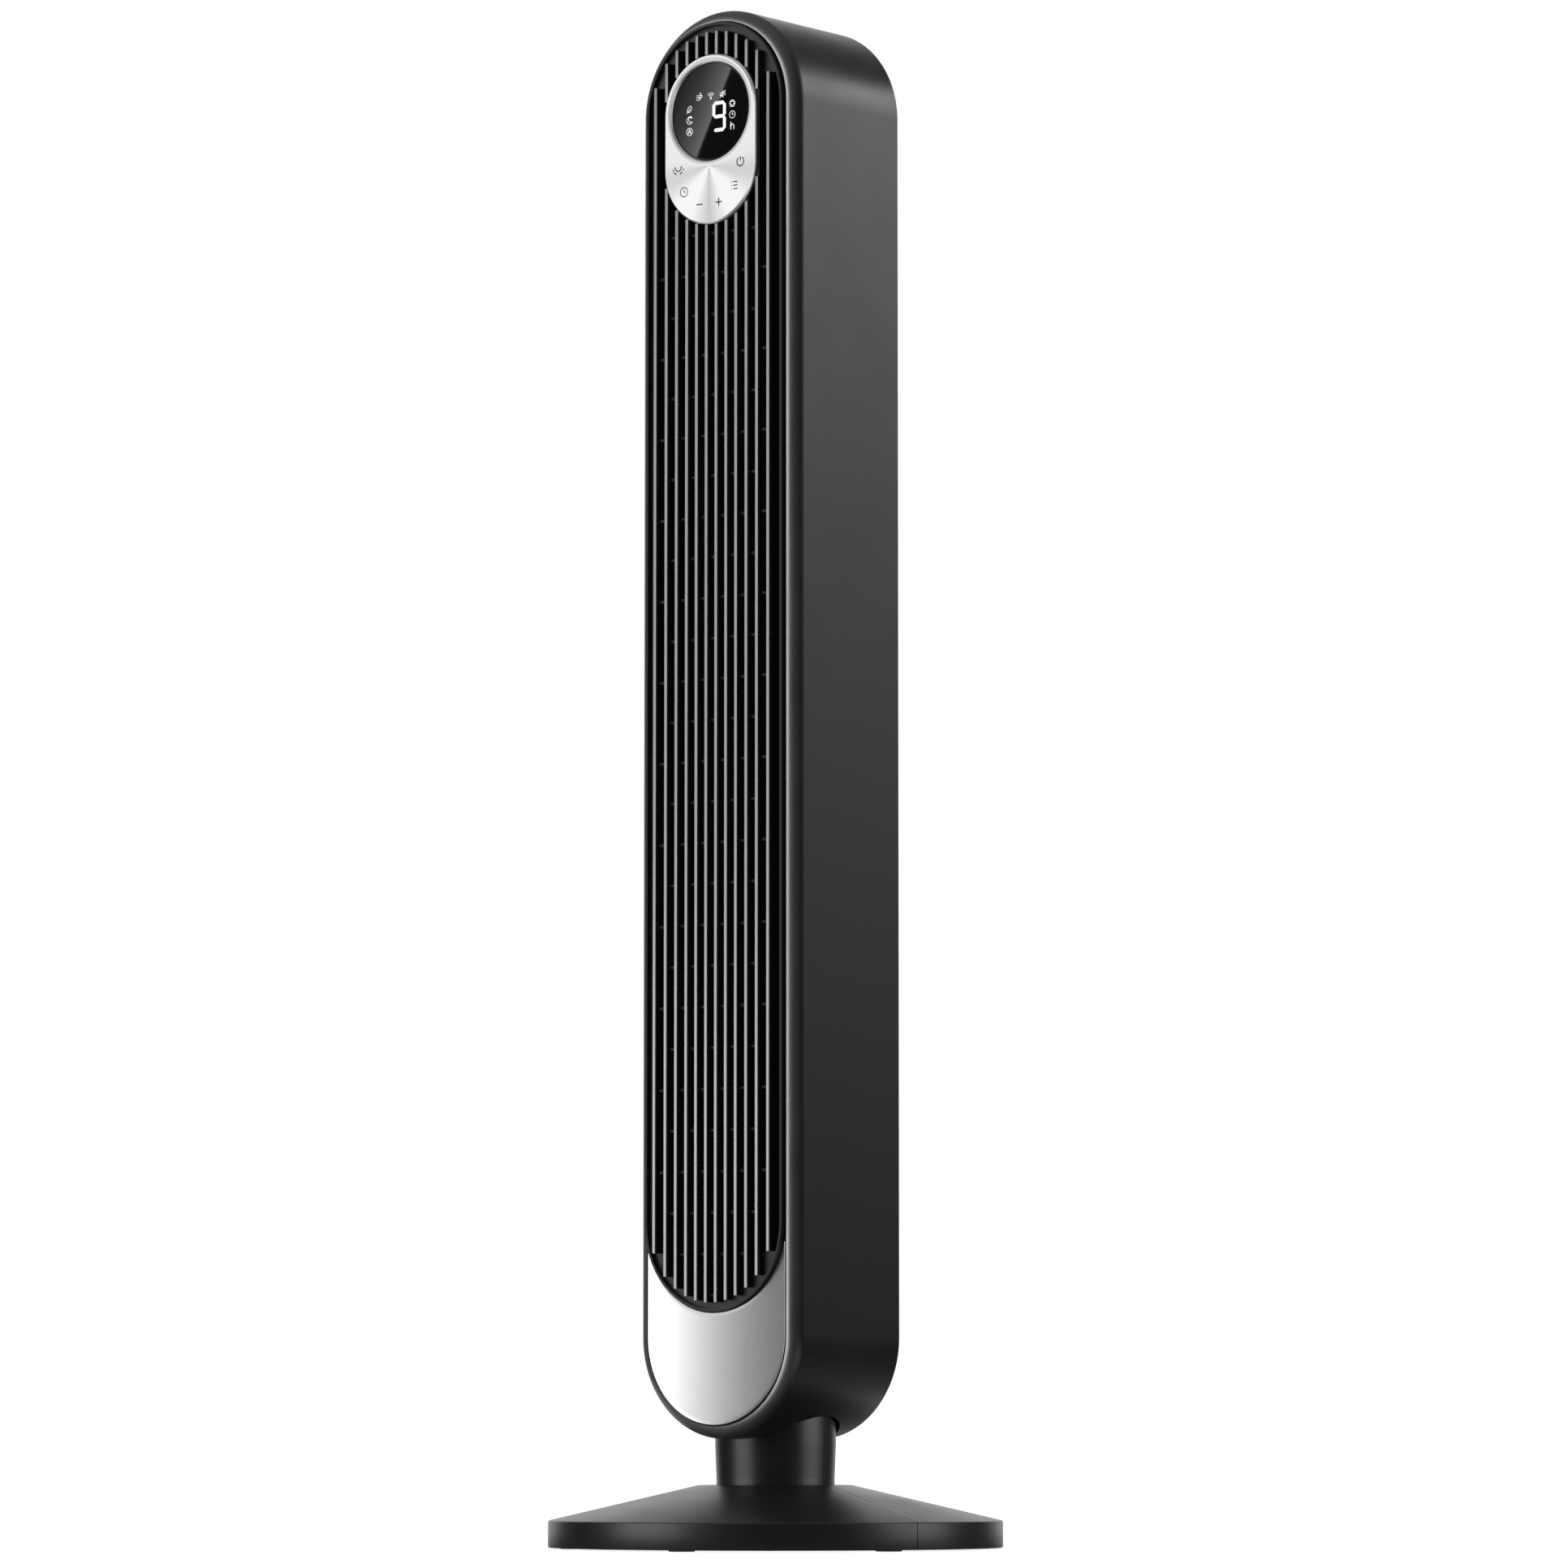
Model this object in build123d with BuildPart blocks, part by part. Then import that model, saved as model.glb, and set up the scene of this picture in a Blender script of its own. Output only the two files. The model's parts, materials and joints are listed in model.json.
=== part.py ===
from build123d import *
import math
import os

# Tower fan: a tall swivelling head with a cross-flow blower, on a round two-piece base.
# Millimetres. Origin at the centre of the base's underside, +Z up, the air outlet faces -Y
# and +X is to the right of someone who faces the outlet.

# ---- driving dimensions: head ----
HEAD_HALF_WIDTH = 70.4
HEAD_FRONT_Y = -65.4
HEAD_REAR_Y = 49.7
HEAD_TOP_Z = 1070.4
HEAD_BOTTOM_Z = 75.6
HEAD_FRONT_FILLET = 9.7
SHELL_WALL = 3.0
CAVITY_FILLET = 4.0
SHELL_LIP_RADIUS = 61.7
SHELL_HOLE_RADIUS = 44.5
REAR_BOSS_RADIUS = 4.5
REAR_BOSS_Y = 20.0
REAR_SCREW_REACH = 63.5
SWIVEL_BOSS_RADIUS = 4.0
SWIVEL_BOSS_LOW_Z = 88.9
LEDGE_X = 64.0
LEDGE_THICK = 6.0

# ---- driving dimensions: grille, trims and controls ----
GRILLE_RADIUS = 60.8
GRILLE_FLANGE_RADIUS = 63.2
GRILLE_LOW_Z = 223.4
GRILLE_RIM_Y = -69.0
GRILLE_RIM_WIDTH = 1.8
GRILLE_SHELF_Y = -65.6
GRILLE_SEAT_Y = -65.0
GRILLE_BACK_Y = -60.0
GRILLE_OPENING_RADIUS = 57.2
SLAT_X = (4.41, 13.25, 22.09, 31.29, 40.62, 50.64)
SLAT_END_RADIUS = 54.4
SLAT_FRONT_Y = -71.9
SLAT_WIDTH = 2.3
SLAT_TRIM_DEPTH = 2.1
FIN_WIDTH = 1.7
FIN_BACK_Y = -50.0
RIB_PITCH = 56.8
RIB_EVEN_Z = 883.9
RIB_ODD_Z = 912.3
RIB_HEIGHT = 1.3
RIB_Y = -67.2
RIB_DEPTH = 2.4
RIB_ROWS = 14
PLATE_RADIUS = 41.0
PLATE_LOW_Z = 959.0
PLATE_HIGH_Z = 997.0
PLATE_FRONT_Y = -73.8
PLATE_DEPTH = 3.8
PLATE_CHAMFER = 1.5
DISPLAY_Z = 997.5
DISPLAY_RING_RADIUS = 37.4
DISPLAY_RADIUS = 34.5
DISPLAY_Y = -72.9
DISPLAY_DEPTH = 2.3
INLAY = 0.12
ICON_CIRCLE_RADIUS = 28.0
ICON_STEP_DEG = 36
LOWER_PANEL_Y = -67.5
LOWER_PANEL_DEPTH = 2.5
LOWER_PANEL_GAP = 0.5
HOUSING_RADIUS = 57.0
HOUSING_WALL = 2.0
HOUSING_DEPTH = 20.0
HOUSING_LOW_Z = 912.0
DISPLAY_BOARD_Y = -44.0
DISPLAY_BOARD_THICK = 1.6

# ---- driving dimensions: rear cover ----
REAR_FLANGE_Y = 44.0
REAR_FLANGE_DEPTH = 3.0
REAR_FLANGE_RADIUS = 67.1
REAR_PAN_RADIUS = 55.0
REAR_PAN_LOW_Z = 190.0
REAR_PAN_HIGH_Z = 985.0
REAR_PAN_Y = 57.0
REAR_PAN_FILLET = 7.0
REAR_WALL = 2.4
INTAKE_SLOT = (40.0, 3.6)
INTAKE_PITCH = 7.6
INTAKE_LOW_Z = 240.0
INTAKE_ROWS = 86
HANDLE_Z = 945.0
HANDLE_WIDTH = 84.0
HANDLE_HEIGHT = 30.0
HANDLE_DEPTH = 26.0

# ---- driving dimensions: blower ----
IMPELLER_RADIUS = 40.0
IMPELLER_LOW_Z = 226.0
IMPELLER_HIGH_Z = 886.0
IMPELLER_BLADES = 28
IMPELLER_DISCS = 7
DISC_THICK = 2.0
DISC_HOLE_RADIUS = 29.0
HUB_RADIUS = 9.0
HUB_LENGTH = 14.0
DUCT_WALL = 2.0
SHAFT_RADIUS = 4.0
RUNNING_CLEARANCE = 0.05
MOTOR_RADIUS = 34.0
MOTOR_LOW_Z = 162.0
MOTOR_HIGH_Z = 214.0
MOTOR_WALL = 1.5
MOTOR_BUSH_LENGTH = 8.0
STATOR_Z = 176.0
STATOR_HEIGHT = 24.0
STATOR_BORE_RADIUS = 22.0
ROTOR_RADIUS = 21.4
BRACKET_THICK = 3.0
BRACKET_Z = 218.0
BEARING_PLATE_Z = 905.0
BEARING_HOLE_RADIUS = 14.0
BEARING_DROP = 6.0
BUSH_RADIUS = 8.0
BRACKET_HALF_WIDTH = 66.5

# ---- driving dimensions: swivel ----
NECK_RADIUS = 41.9
NECK_FOOT_RADIUS = 41.0
NECK_TOP_Z = 96.0
SPIGOT_RADIUS = 22.0
SPIGOT_BORE = 15.0
SPIGOT_TOP_Z = 110.0
SWIVEL_PLATE_Z = 97.6
SWIVEL_PLATE_THICK = 4.0
GEAR_MODULE = 1.25
GEAR_TEETH = 44
PINION_TEETH = 12
GEAR_BACKLASH = 0.25
PRESSURE_ANGLE = math.radians(20)
GEAR_LOW_Z = 102.0
GEAR_HEIGHT = 8.0
CENTRE_SLACK = 0.1
PINION_SHAFT_RADIUS = 2.5
PINION_INSET = 0.4
MOTOR_EAR_X = 17.5
MOTOR_EAR_THICK = 0.9
SWIVEL_MOTOR_Z = 112.5
SWIVEL_MOTOR_RADIUS = 14.0
RETAINER_THICK = 1.2
RETAINER_SCREW_CIRCLE = 18.5

# ---- driving dimensions: base ----
BASE_RADIUS = 157.5
BASE_RIM_Z = 19.5
BASE_LEDGE_RADIUS = 53.5
BASE_LEDGE_Z = 43.9
BASE_WALL = 3.0
BASE_LIFT = 1.0
BASE_SPLIT_DEG = -18.0
BASE_SPLIT_OFFSET = 12.0
BASE_SCREW_RADIUS = 120.0
BASE_COVER_Z = 2.0
BASE_COVER_THICK = 2.5
BALLAST_THICK = 6.0
GLAND_Z = 10.9
GLAND_RADIUS = 5.6
GLAND_SLOT = (6.6, 3.4)
FLANGE_LOW_Z = 37.0
FLANGE_HIGH_Z = 41.2
NECK_BORE_RADIUS = 38.2

# ---- driving dimensions: screws ----
PILOT_RADIUS = 1.5
SHANK_RADIUS = 1.45
CLEARANCE_RADIUS = 1.9
SCREW_HEAD_RADIUS = 2.9
SCREW_HEAD_HEIGHT = 1.8
REAR_HEAD_RADIUS = 3.2
SMALL_HEAD_RADIUS = 2.4
SMALL_SHANK_RADIUS = 1.15
SMALL_PILOT_RADIUS = 1.2

# ---- derived values ----
HEAD_DEPTH = HEAD_REAR_Y - HEAD_FRONT_Y
HEAD_LOW_ARC_Z = HEAD_BOTTOM_Z + HEAD_HALF_WIDTH
HEAD_HIGH_ARC_Z = HEAD_TOP_Z - HEAD_HALF_WIDTH
SHELL_LIP_Y = HEAD_FRONT_Y + SHELL_WALL
GEAR_PITCH_RADIUS = GEAR_MODULE * GEAR_TEETH / 2
PINION_PITCH_RADIUS = GEAR_MODULE * PINION_TEETH / 2
SWIVEL_TOP_Z = SWIVEL_PLATE_Z + SWIVEL_PLATE_THICK
PINION_Y = -(GEAR_PITCH_RADIUS + PINION_PITCH_RADIUS + CENTRE_SLACK)
SLATS = sorted([-x for x in SLAT_X] + list(SLAT_X))
REAR_SCREWS = [(side * REAR_SCREW_REACH, z) for side in (-1, 1) for z in (170, 440, 720, 985)]
REAR_SCREWS.append((0, HEAD_HIGH_ARC_Z + REAR_SCREW_REACH))
SWIVEL_SCREWS = [(-37, -48), (37, -48), (-37, 38), (37, 38)]
BRACKET_SCREWS = [(-63.5, -8), (63.5, -8), (-63.5, 8), (63.5, 8)]
BASE_SPLIT = Plane(
    origin=Vector(0, BASE_SPLIT_OFFSET, 0).rotate(Axis.Z, BASE_SPLIT_DEG),
    x_dir=Vector(1, 0, 0).rotate(Axis.Z, BASE_SPLIT_DEG),
    z_dir=Vector(0, -1, 0).rotate(Axis.Z, BASE_SPLIT_DEG),
)

os.makedirs("parts", exist_ok=True)


def save(builder, name):
    """Label a finished sub-part and write its STEP file."""
    builder.part.label = name
    export_step(builder.part, f"parts/{name}.step")


def front_plane(y):
    """Upright plane at depth y that faces the front: its x is +X and its y is +Z."""
    return Plane.XZ.offset(-y)


def stadium(radius, low_z, high_z, mode=Mode.ADD):
    """Upright stadium: half circles of one radius about two heights."""
    with Locations((0, (low_z + high_z) / 2)):
        SlotCenterToCenter(high_z - low_z, 2 * radius, rotation=90, mode=mode)


def slat_reach(x):
    """Height of a slat's end above the arc's centre."""
    return math.sqrt(SLAT_END_RADIUS**2 - x**2)


def upright_bar(x, width, low_z, high_z, mode=Mode.ADD):
    """Rectangle in an upright sketch, given by its two end heights."""
    with Locations((x, (low_z + high_z) / 2)):
        Rectangle(width, high_z - low_z, mode=mode)


# ======================================================================
# Head: casing
# ======================================================================

# Side and front casing: a stadium tube with a rounded front edge and an inward lip.
with BuildPart() as main_shell:
    with BuildSketch(front_plane(HEAD_FRONT_Y)):
        stadium(HEAD_HALF_WIDTH, HEAD_LOW_ARC_Z, HEAD_HIGH_ARC_Z)
    extrude(amount=-HEAD_DEPTH)
    fillet(main_shell.faces().sort_by(Axis.Y)[0].edges(), HEAD_FRONT_FILLET)
    with BuildSketch(front_plane(SHELL_LIP_Y)):
        stadium(HEAD_HALF_WIDTH - SHELL_WALL, HEAD_LOW_ARC_Z, HEAD_HIGH_ARC_Z)
    extrude(amount=-HEAD_DEPTH, mode=Mode.SUBTRACT)
    cavity_front = main_shell.faces().filter_by(Axis.Y).filter_by_position(
        Axis.Y, SHELL_LIP_Y - 0.1, SHELL_LIP_Y + 0.1
    )
    fillet(cavity_front.edges(), CAVITY_FILLET)
    with BuildSketch(front_plane(HEAD_FRONT_Y - 1)):
        stadium(SHELL_LIP_RADIUS, HEAD_LOW_ARC_Z, HEAD_HIGH_ARC_Z)
    extrude(amount=-SHELL_WALL - 2, mode=Mode.SUBTRACT)
    # Bosses for the rear cover's screws, on the inside of the wall.
    with BuildSketch(front_plane(REAR_BOSS_Y)):
        with Locations(*REAR_SCREWS):
            Circle(REAR_BOSS_RADIUS)
    extrude(amount=-(REAR_FLANGE_Y - REAR_BOSS_Y))
    with BuildSketch(front_plane(REAR_FLANGE_Y)):
        with Locations(*REAR_SCREWS):
            Circle(PILOT_RADIUS)
    extrude(amount=14, mode=Mode.SUBTRACT)
    # Bosses for the swivel plate, rising from the curved floor.
    with BuildSketch(Plane.XY.offset(SWIVEL_BOSS_LOW_Z)):
        with Locations(*SWIVEL_SCREWS):
            Circle(SWIVEL_BOSS_RADIUS)
    extrude(amount=SWIVEL_PLATE_Z - SWIVEL_BOSS_LOW_Z)
    with BuildSketch(Plane.XY.offset(SWIVEL_PLATE_Z)):
        with Locations(*SWIVEL_SCREWS):
            Circle(PILOT_RADIUS)
    extrude(amount=-6, mode=Mode.SUBTRACT)
    # Ledges for the motor bracket and for the upper bearing plate.
    for ledge_top in (BRACKET_Z, BEARING_PLATE_Z):
        with BuildSketch(Plane.XY.offset(ledge_top)):
            with Locations((-LEDGE_X, 0), (LEDGE_X, 0)):
                Rectangle(8, 30)
        extrude(amount=-LEDGE_THICK)
        with BuildSketch(Plane.XY.offset(ledge_top)):
            with Locations(*BRACKET_SCREWS):
                Circle(PILOT_RADIUS)
        extrude(amount=-LEDGE_THICK, mode=Mode.SUBTRACT)
    # Round hole in the underside for the neck.
    with BuildSketch(Plane.XY.offset(HEAD_BOTTOM_Z - 5)):
        Circle(SHELL_HOLE_RADIUS)
    extrude(amount=40, mode=Mode.SUBTRACT)
save(main_shell, "main_shell")

# Rear cover: a flat flange inside the casing, with a raised pan full of intake slots.
with BuildPart() as rear_cover:
    with BuildSketch(front_plane(REAR_FLANGE_Y)):
        stadium(REAR_FLANGE_RADIUS, HEAD_LOW_ARC_Z, HEAD_HIGH_ARC_Z)
    extrude(amount=-REAR_FLANGE_DEPTH)
    with BuildSketch(front_plane(REAR_FLANGE_Y)):
        stadium(REAR_PAN_RADIUS, REAR_PAN_LOW_Z, REAR_PAN_HIGH_Z)
    extrude(amount=-(REAR_PAN_Y - REAR_FLANGE_Y))
    fillet(rear_cover.faces().sort_by(Axis.Y)[-1].edges(), REAR_PAN_FILLET)
    with BuildSketch(front_plane(REAR_FLANGE_Y)):
        stadium(REAR_PAN_RADIUS - REAR_WALL, REAR_PAN_LOW_Z, REAR_PAN_HIGH_Z)
    extrude(amount=-(REAR_PAN_Y - REAR_WALL - REAR_FLANGE_Y), mode=Mode.SUBTRACT)
    pan_floor = rear_cover.faces().filter_by(Axis.Y).filter_by_position(
        Axis.Y, REAR_PAN_Y - REAR_WALL - 0.1, REAR_PAN_Y - REAR_WALL + 0.1
    )
    fillet(pan_floor.edges(), REAR_PAN_FILLET - REAR_WALL)
    with BuildSketch(front_plane(REAR_PAN_Y + 1)):
        with Locations((0, INTAKE_LOW_Z + (INTAKE_ROWS - 1) * INTAKE_PITCH / 2)):
            with GridLocations(INTAKE_SLOT[0] + 5, INTAKE_PITCH, 2, INTAKE_ROWS):
                SlotOverall(INTAKE_SLOT[0], INTAKE_SLOT[1])
        with Locations((0, HANDLE_Z)):
            SlotOverall(HANDLE_WIDTH, HANDLE_HEIGHT)
    extrude(amount=REAR_WALL + 2, mode=Mode.SUBTRACT)
    with BuildSketch(front_plane(REAR_FLANGE_Y)):
        with Locations(*REAR_SCREWS):
            Circle(CLEARANCE_RADIUS)
    extrude(amount=-REAR_FLANGE_DEPTH, mode=Mode.SUBTRACT)
save(rear_cover, "rear_cover")

# Grip cup behind the slot in the rear cover.
with BuildPart() as handle_cup:
    with BuildSketch(front_plane(REAR_PAN_Y - REAR_WALL)):
        with Locations((0, HANDLE_Z)):
            SlotOverall(HANDLE_WIDTH + 5, HANDLE_HEIGHT + 5)
    extrude(amount=HANDLE_DEPTH)
    with BuildSketch(front_plane(REAR_PAN_Y - REAR_WALL)):
        with Locations((0, HANDLE_Z)):
            SlotOverall(HANDLE_WIDTH, HANDLE_HEIGHT)
    extrude(amount=HANDLE_DEPTH - 2.5, mode=Mode.SUBTRACT)
save(handle_cup, "handle_cup")

# Screws of the rear cover: heads on the flange, shanks in the casing's bosses.
with BuildPart() as rear_screws:
    with BuildSketch(front_plane(REAR_FLANGE_Y + REAR_FLANGE_DEPTH)):
        with Locations(*REAR_SCREWS):
            Circle(REAR_HEAD_RADIUS)
    extrude(amount=-SCREW_HEAD_HEIGHT)
    with BuildSketch(front_plane(REAR_FLANGE_Y + REAR_FLANGE_DEPTH)):
        with Locations(*REAR_SCREWS):
            Circle(SHANK_RADIUS)
    extrude(amount=14)
save(rear_screws, "rear_screws")

# ======================================================================
# Head: front grille and trims
# ======================================================================

# Black grille: flange, rim, stepped shelf, deep fins and short staggered ribs.
with BuildPart() as front_grille:
    with BuildSketch(front_plane(SHELL_LIP_Y)):
        stadium(GRILLE_FLANGE_RADIUS, HEAD_LOW_ARC_Z, HEAD_HIGH_ARC_Z)
    extrude(amount=-(GRILLE_BACK_Y - SHELL_LIP_Y))
    with BuildSketch(front_plane(GRILLE_SEAT_Y)):
        stadium(GRILLE_RADIUS, HEAD_LOW_ARC_Z, HEAD_HIGH_ARC_Z)
    extrude(amount=-(SHELL_LIP_Y - GRILLE_SEAT_Y))
    with BuildSketch(front_plane(GRILLE_RIM_Y)):
        stadium(GRILLE_RADIUS, GRILLE_LOW_Z, HEAD_HIGH_ARC_Z)
    extrude(amount=-(GRILLE_SEAT_Y - GRILLE_RIM_Y))
    with BuildSketch(front_plane(GRILLE_RIM_Y)):
        stadium(GRILLE_RADIUS - GRILLE_RIM_WIDTH, GRILLE_LOW_Z, HEAD_HIGH_ARC_Z)
    extrude(amount=-(GRILLE_SHELF_Y - GRILLE_RIM_Y), mode=Mode.SUBTRACT)
    # Air gaps between neighbouring slats: each one stops where its shorter slat ends.
    with BuildSketch(front_plane(GRILLE_SHELF_Y)):
        edges_x = [-GRILLE_OPENING_RADIUS] + SLATS + [GRILLE_OPENING_RADIUS]
        for left, right in zip(edges_x[:-1], edges_x[1:]):
            reach = slat_reach(min(max(abs(left), abs(right)), SLAT_X[-1]))
            low_z = GRILLE_LOW_Z - reach
            high_z = HEAD_HIGH_ARC_Z + reach
            upright_bar((left + right) / 2, right - left, low_z, high_z)
        stadium(GRILLE_OPENING_RADIUS, GRILLE_LOW_Z, HEAD_HIGH_ARC_Z, mode=Mode.INTERSECT)
    extrude(amount=-(GRILLE_BACK_Y - GRILLE_SHELF_Y), mode=Mode.SUBTRACT)
    fin_front_y = SLAT_FRONT_Y + SLAT_TRIM_DEPTH
    with BuildSketch(front_plane(fin_front_y)):
        for x in SLATS:
            upright_bar(x, FIN_WIDTH, GRILLE_LOW_Z - slat_reach(x), HEAD_HIGH_ARC_Z + slat_reach(x))
    extrude(amount=-(FIN_BACK_Y - fin_front_y))
    with BuildSketch(front_plane(RIB_Y)):
        for gap, (left, right) in enumerate(zip(SLATS[:-1], SLATS[1:])):
            first_z = RIB_ODD_Z if gap % 2 else RIB_EVEN_Z
            floor_z = GRILLE_LOW_Z - slat_reach(max(abs(left), abs(right))) + RIB_HEIGHT
            for row in range(RIB_ROWS):
                rib_z = first_z - row * RIB_PITCH
                if rib_z > floor_z:
                    with Locations(((left + right) / 2, rib_z)):
                        Rectangle(right - left, RIB_HEIGHT)
    extrude(amount=-RIB_DEPTH)
save(front_grille, "front_grille")

# Silver strips on the front edges of the fins, interrupted by the control plate.
with BuildPart() as slat_trims:
    with BuildSketch(front_plane(SLAT_FRONT_Y)):
        for x in SLATS:
            upright_bar(x, SLAT_WIDTH, GRILLE_LOW_Z - slat_reach(x), HEAD_HIGH_ARC_Z + slat_reach(x))
        stadium(PLATE_RADIUS + 1, PLATE_LOW_Z, PLATE_HIGH_Z, mode=Mode.SUBTRACT)
    extrude(amount=-SLAT_TRIM_DEPTH)
save(slat_trims, "slat_trims")

# Silver panel under the grille, with two horns that run up beside its rim.
with BuildPart() as lower_panel:
    with BuildSketch(front_plane(LOWER_PANEL_Y)):
        stadium(GRILLE_RADIUS, HEAD_LOW_ARC_Z, HEAD_HIGH_ARC_Z)
        stadium(GRILLE_RADIUS + LOWER_PANEL_GAP, GRILLE_LOW_Z, HEAD_HIGH_ARC_Z, mode=Mode.SUBTRACT)
    extrude(amount=-LOWER_PANEL_DEPTH)
save(lower_panel, "lower_panel")

# ======================================================================
# Head: controls
# ======================================================================

# Silver control plate with a round window near its top.
with BuildPart() as control_plate:
    with BuildSketch(front_plane(PLATE_FRONT_Y)):
        stadium(PLATE_RADIUS, PLATE_LOW_Z, PLATE_HIGH_Z)
    extrude(amount=-PLATE_DEPTH)
    chamfer(control_plate.faces().sort_by(Axis.Y)[0].edges(), PLATE_CHAMFER)
    with BuildSketch(front_plane(PLATE_FRONT_Y)):
        with Locations((0, DISPLAY_Z)):
            Circle(DISPLAY_RING_RADIUS)
    extrude(amount=-PLATE_DEPTH, mode=Mode.SUBTRACT)
save(control_plate, "control_plate")

# Bevelled ring between the plate and the display window.
with BuildPart() as display_ring:
    with BuildSketch(front_plane(PLATE_FRONT_Y)):
        with Locations((0, DISPLAY_Z)):
            Circle(DISPLAY_RING_RADIUS)
            Circle(DISPLAY_RADIUS, mode=Mode.SUBTRACT)
    extrude(amount=-PLATE_DEPTH)
    inner_edge = display_ring.faces().sort_by(Axis.Y)[0].edges().sort_by(SortBy.LENGTH)[0]
    chamfer(inner_edge, DISPLAY_Y - PLATE_FRONT_Y)
save(display_ring, "display_ring")

# Round black display window.
with BuildPart() as display_lens:
    with BuildSketch(front_plane(DISPLAY_Y)):
        with Locations((0, DISPLAY_Z)):
            Circle(DISPLAY_RADIUS)
    extrude(amount=-DISPLAY_DEPTH)
save(display_lens, "display_lens")

# Lit symbols: a seven-segment digit and small generic signs around it.
with BuildPart() as display_symbols:
    with BuildSketch(front_plane(DISPLAY_Y - INLAY)):
        digit_x = 7.4
        digit_half = 4.9
        digit_z = 993.0
        bar_step = 9.7
        bar_width = 1.9
        for step in (-1, 0, 1):
            with Locations((digit_x, digit_z + step * bar_step)):
                Rectangle(2 * digit_half, bar_width)
        with Locations((digit_x + digit_half, digit_z)):
            Rectangle(bar_width, 2 * bar_step + bar_width)
        with Locations((digit_x - digit_half, digit_z + bar_step / 2)):
            Rectangle(bar_width, bar_step + bar_width)
        for x, z in ((-19.2, 1001), (-19.2, 993), (-19.2, 985), (19.3, 1000.8), (19.3, 993)):
            with Locations((x, z)):
                Circle(2.6)
                Circle(1.5, mode=Mode.SUBTRACT)
        for x in (-10.3, 0.0, 10.6):
            with Locations((x, 1008.4)):
                Rectangle(4.8, 1.0)
                Rectangle(1.0, 4.8)
        with Locations((19.3, 985)):
            Rectangle(1.0, 5.0)
    extrude(amount=-INLAY)
save(display_symbols, "display_symbols")

# Printed touch icons on an arc about the plate's lower centre.
with BuildPart() as touch_icons:
    with BuildSketch(front_plane(PLATE_FRONT_Y - INLAY)):
        for step in range(6):
            angle = math.radians(-step * ICON_STEP_DEG)
            icon_x = ICON_CIRCLE_RADIUS * math.cos(angle)
            icon_z = PLATE_LOW_Z + ICON_CIRCLE_RADIUS * math.sin(angle)
            with Locations((icon_x, icon_z)):
                Circle(3.0)
                Circle(2.3, mode=Mode.SUBTRACT)
    extrude(amount=-INLAY)
save(touch_icons, "touch_icons")

# Dark dish behind the upper slats that holds the electronics.
with BuildPart() as control_housing:
    for inset in (0.0, HOUSING_WALL):
        with BuildSketch(front_plane(FIN_BACK_Y + inset)):
            stadium(HOUSING_RADIUS - inset, HEAD_HIGH_ARC_Z - HOUSING_RADIUS, HEAD_HIGH_ARC_Z)
            upright_bar(0, 2 * HEAD_HALF_WIDTH, HOUSING_LOW_Z + inset, HEAD_TOP_Z, mode=Mode.INTERSECT)
        extrude(amount=-HOUSING_DEPTH, mode=Mode.SUBTRACT if inset else Mode.ADD)
save(control_housing, "control_housing")

# Display circuit board inside the dish.
with BuildPart() as control_pcb:
    with BuildSketch(front_plane(DISPLAY_BOARD_Y)):
        with Locations((0, 975)):
            RectangleRounded(80, 100, 6)
    extrude(amount=-DISPLAY_BOARD_THICK)
    with BuildSketch(front_plane(DISPLAY_BOARD_Y + DISPLAY_BOARD_THICK)):
        for x, z, width, height in ((0, 985, 14, 14), (-24, 960, 12, 8), (24, 1010, 10, 16)):
            with Locations((x, z)):
                Rectangle(width, height)
    extrude(amount=-2.5)
save(control_pcb, "control_pcb")

# ======================================================================
# Head: blower duct and bearings
# ======================================================================

# Scroll wall on the left of the impeller and tongue wall on its right.
DUCT_LOW_Z = BRACKET_Z + BRACKET_THICK
with BuildPart() as scroll_wall:
    with BuildSketch(Plane.XY.offset(DUCT_LOW_Z)):
        with BuildLine():
            ThreePointArc((-24, 39), (-50, -2), (-58, -48))
        trace(line_width=DUCT_WALL)
    extrude(amount=BEARING_PLATE_Z - DUCT_LOW_Z)
save(scroll_wall, "scroll_wall")

with BuildPart() as tongue_wall:
    with BuildSketch(Plane.XY.offset(DUCT_LOW_Z)):
        with BuildLine():
            Polyline((58, -48), (44.5, -14), (51, 6), (56, 16))
        trace(line_width=DUCT_WALL)
    extrude(amount=BEARING_PLATE_Z - DUCT_LOW_Z)
save(tongue_wall, "tongue_wall")


def cross_plate(hole_radius):
    """Plate that spans the casing on its two ledges, with a round hole in the middle."""
    with Locations((0, -3)):
        RectangleRounded(2 * BRACKET_HALF_WIDTH, 88, 6)
    Circle(hole_radius, mode=Mode.SUBTRACT)
    with Locations(*BRACKET_SCREWS):
        Circle(CLEARANCE_RADIUS, mode=Mode.SUBTRACT)


with BuildPart() as motor_bracket:
    with BuildSketch(Plane.XY.offset(BRACKET_Z)):
        cross_plate(12)
    extrude(amount=BRACKET_THICK)
save(motor_bracket, "motor_bracket")

with BuildPart() as bearing_plate:
    with BuildSketch(Plane.XY.offset(BEARING_PLATE_Z)):
        cross_plate(BEARING_HOLE_RADIUS)
    extrude(amount=BRACKET_THICK)
save(bearing_plate, "bearing_plate")

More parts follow.
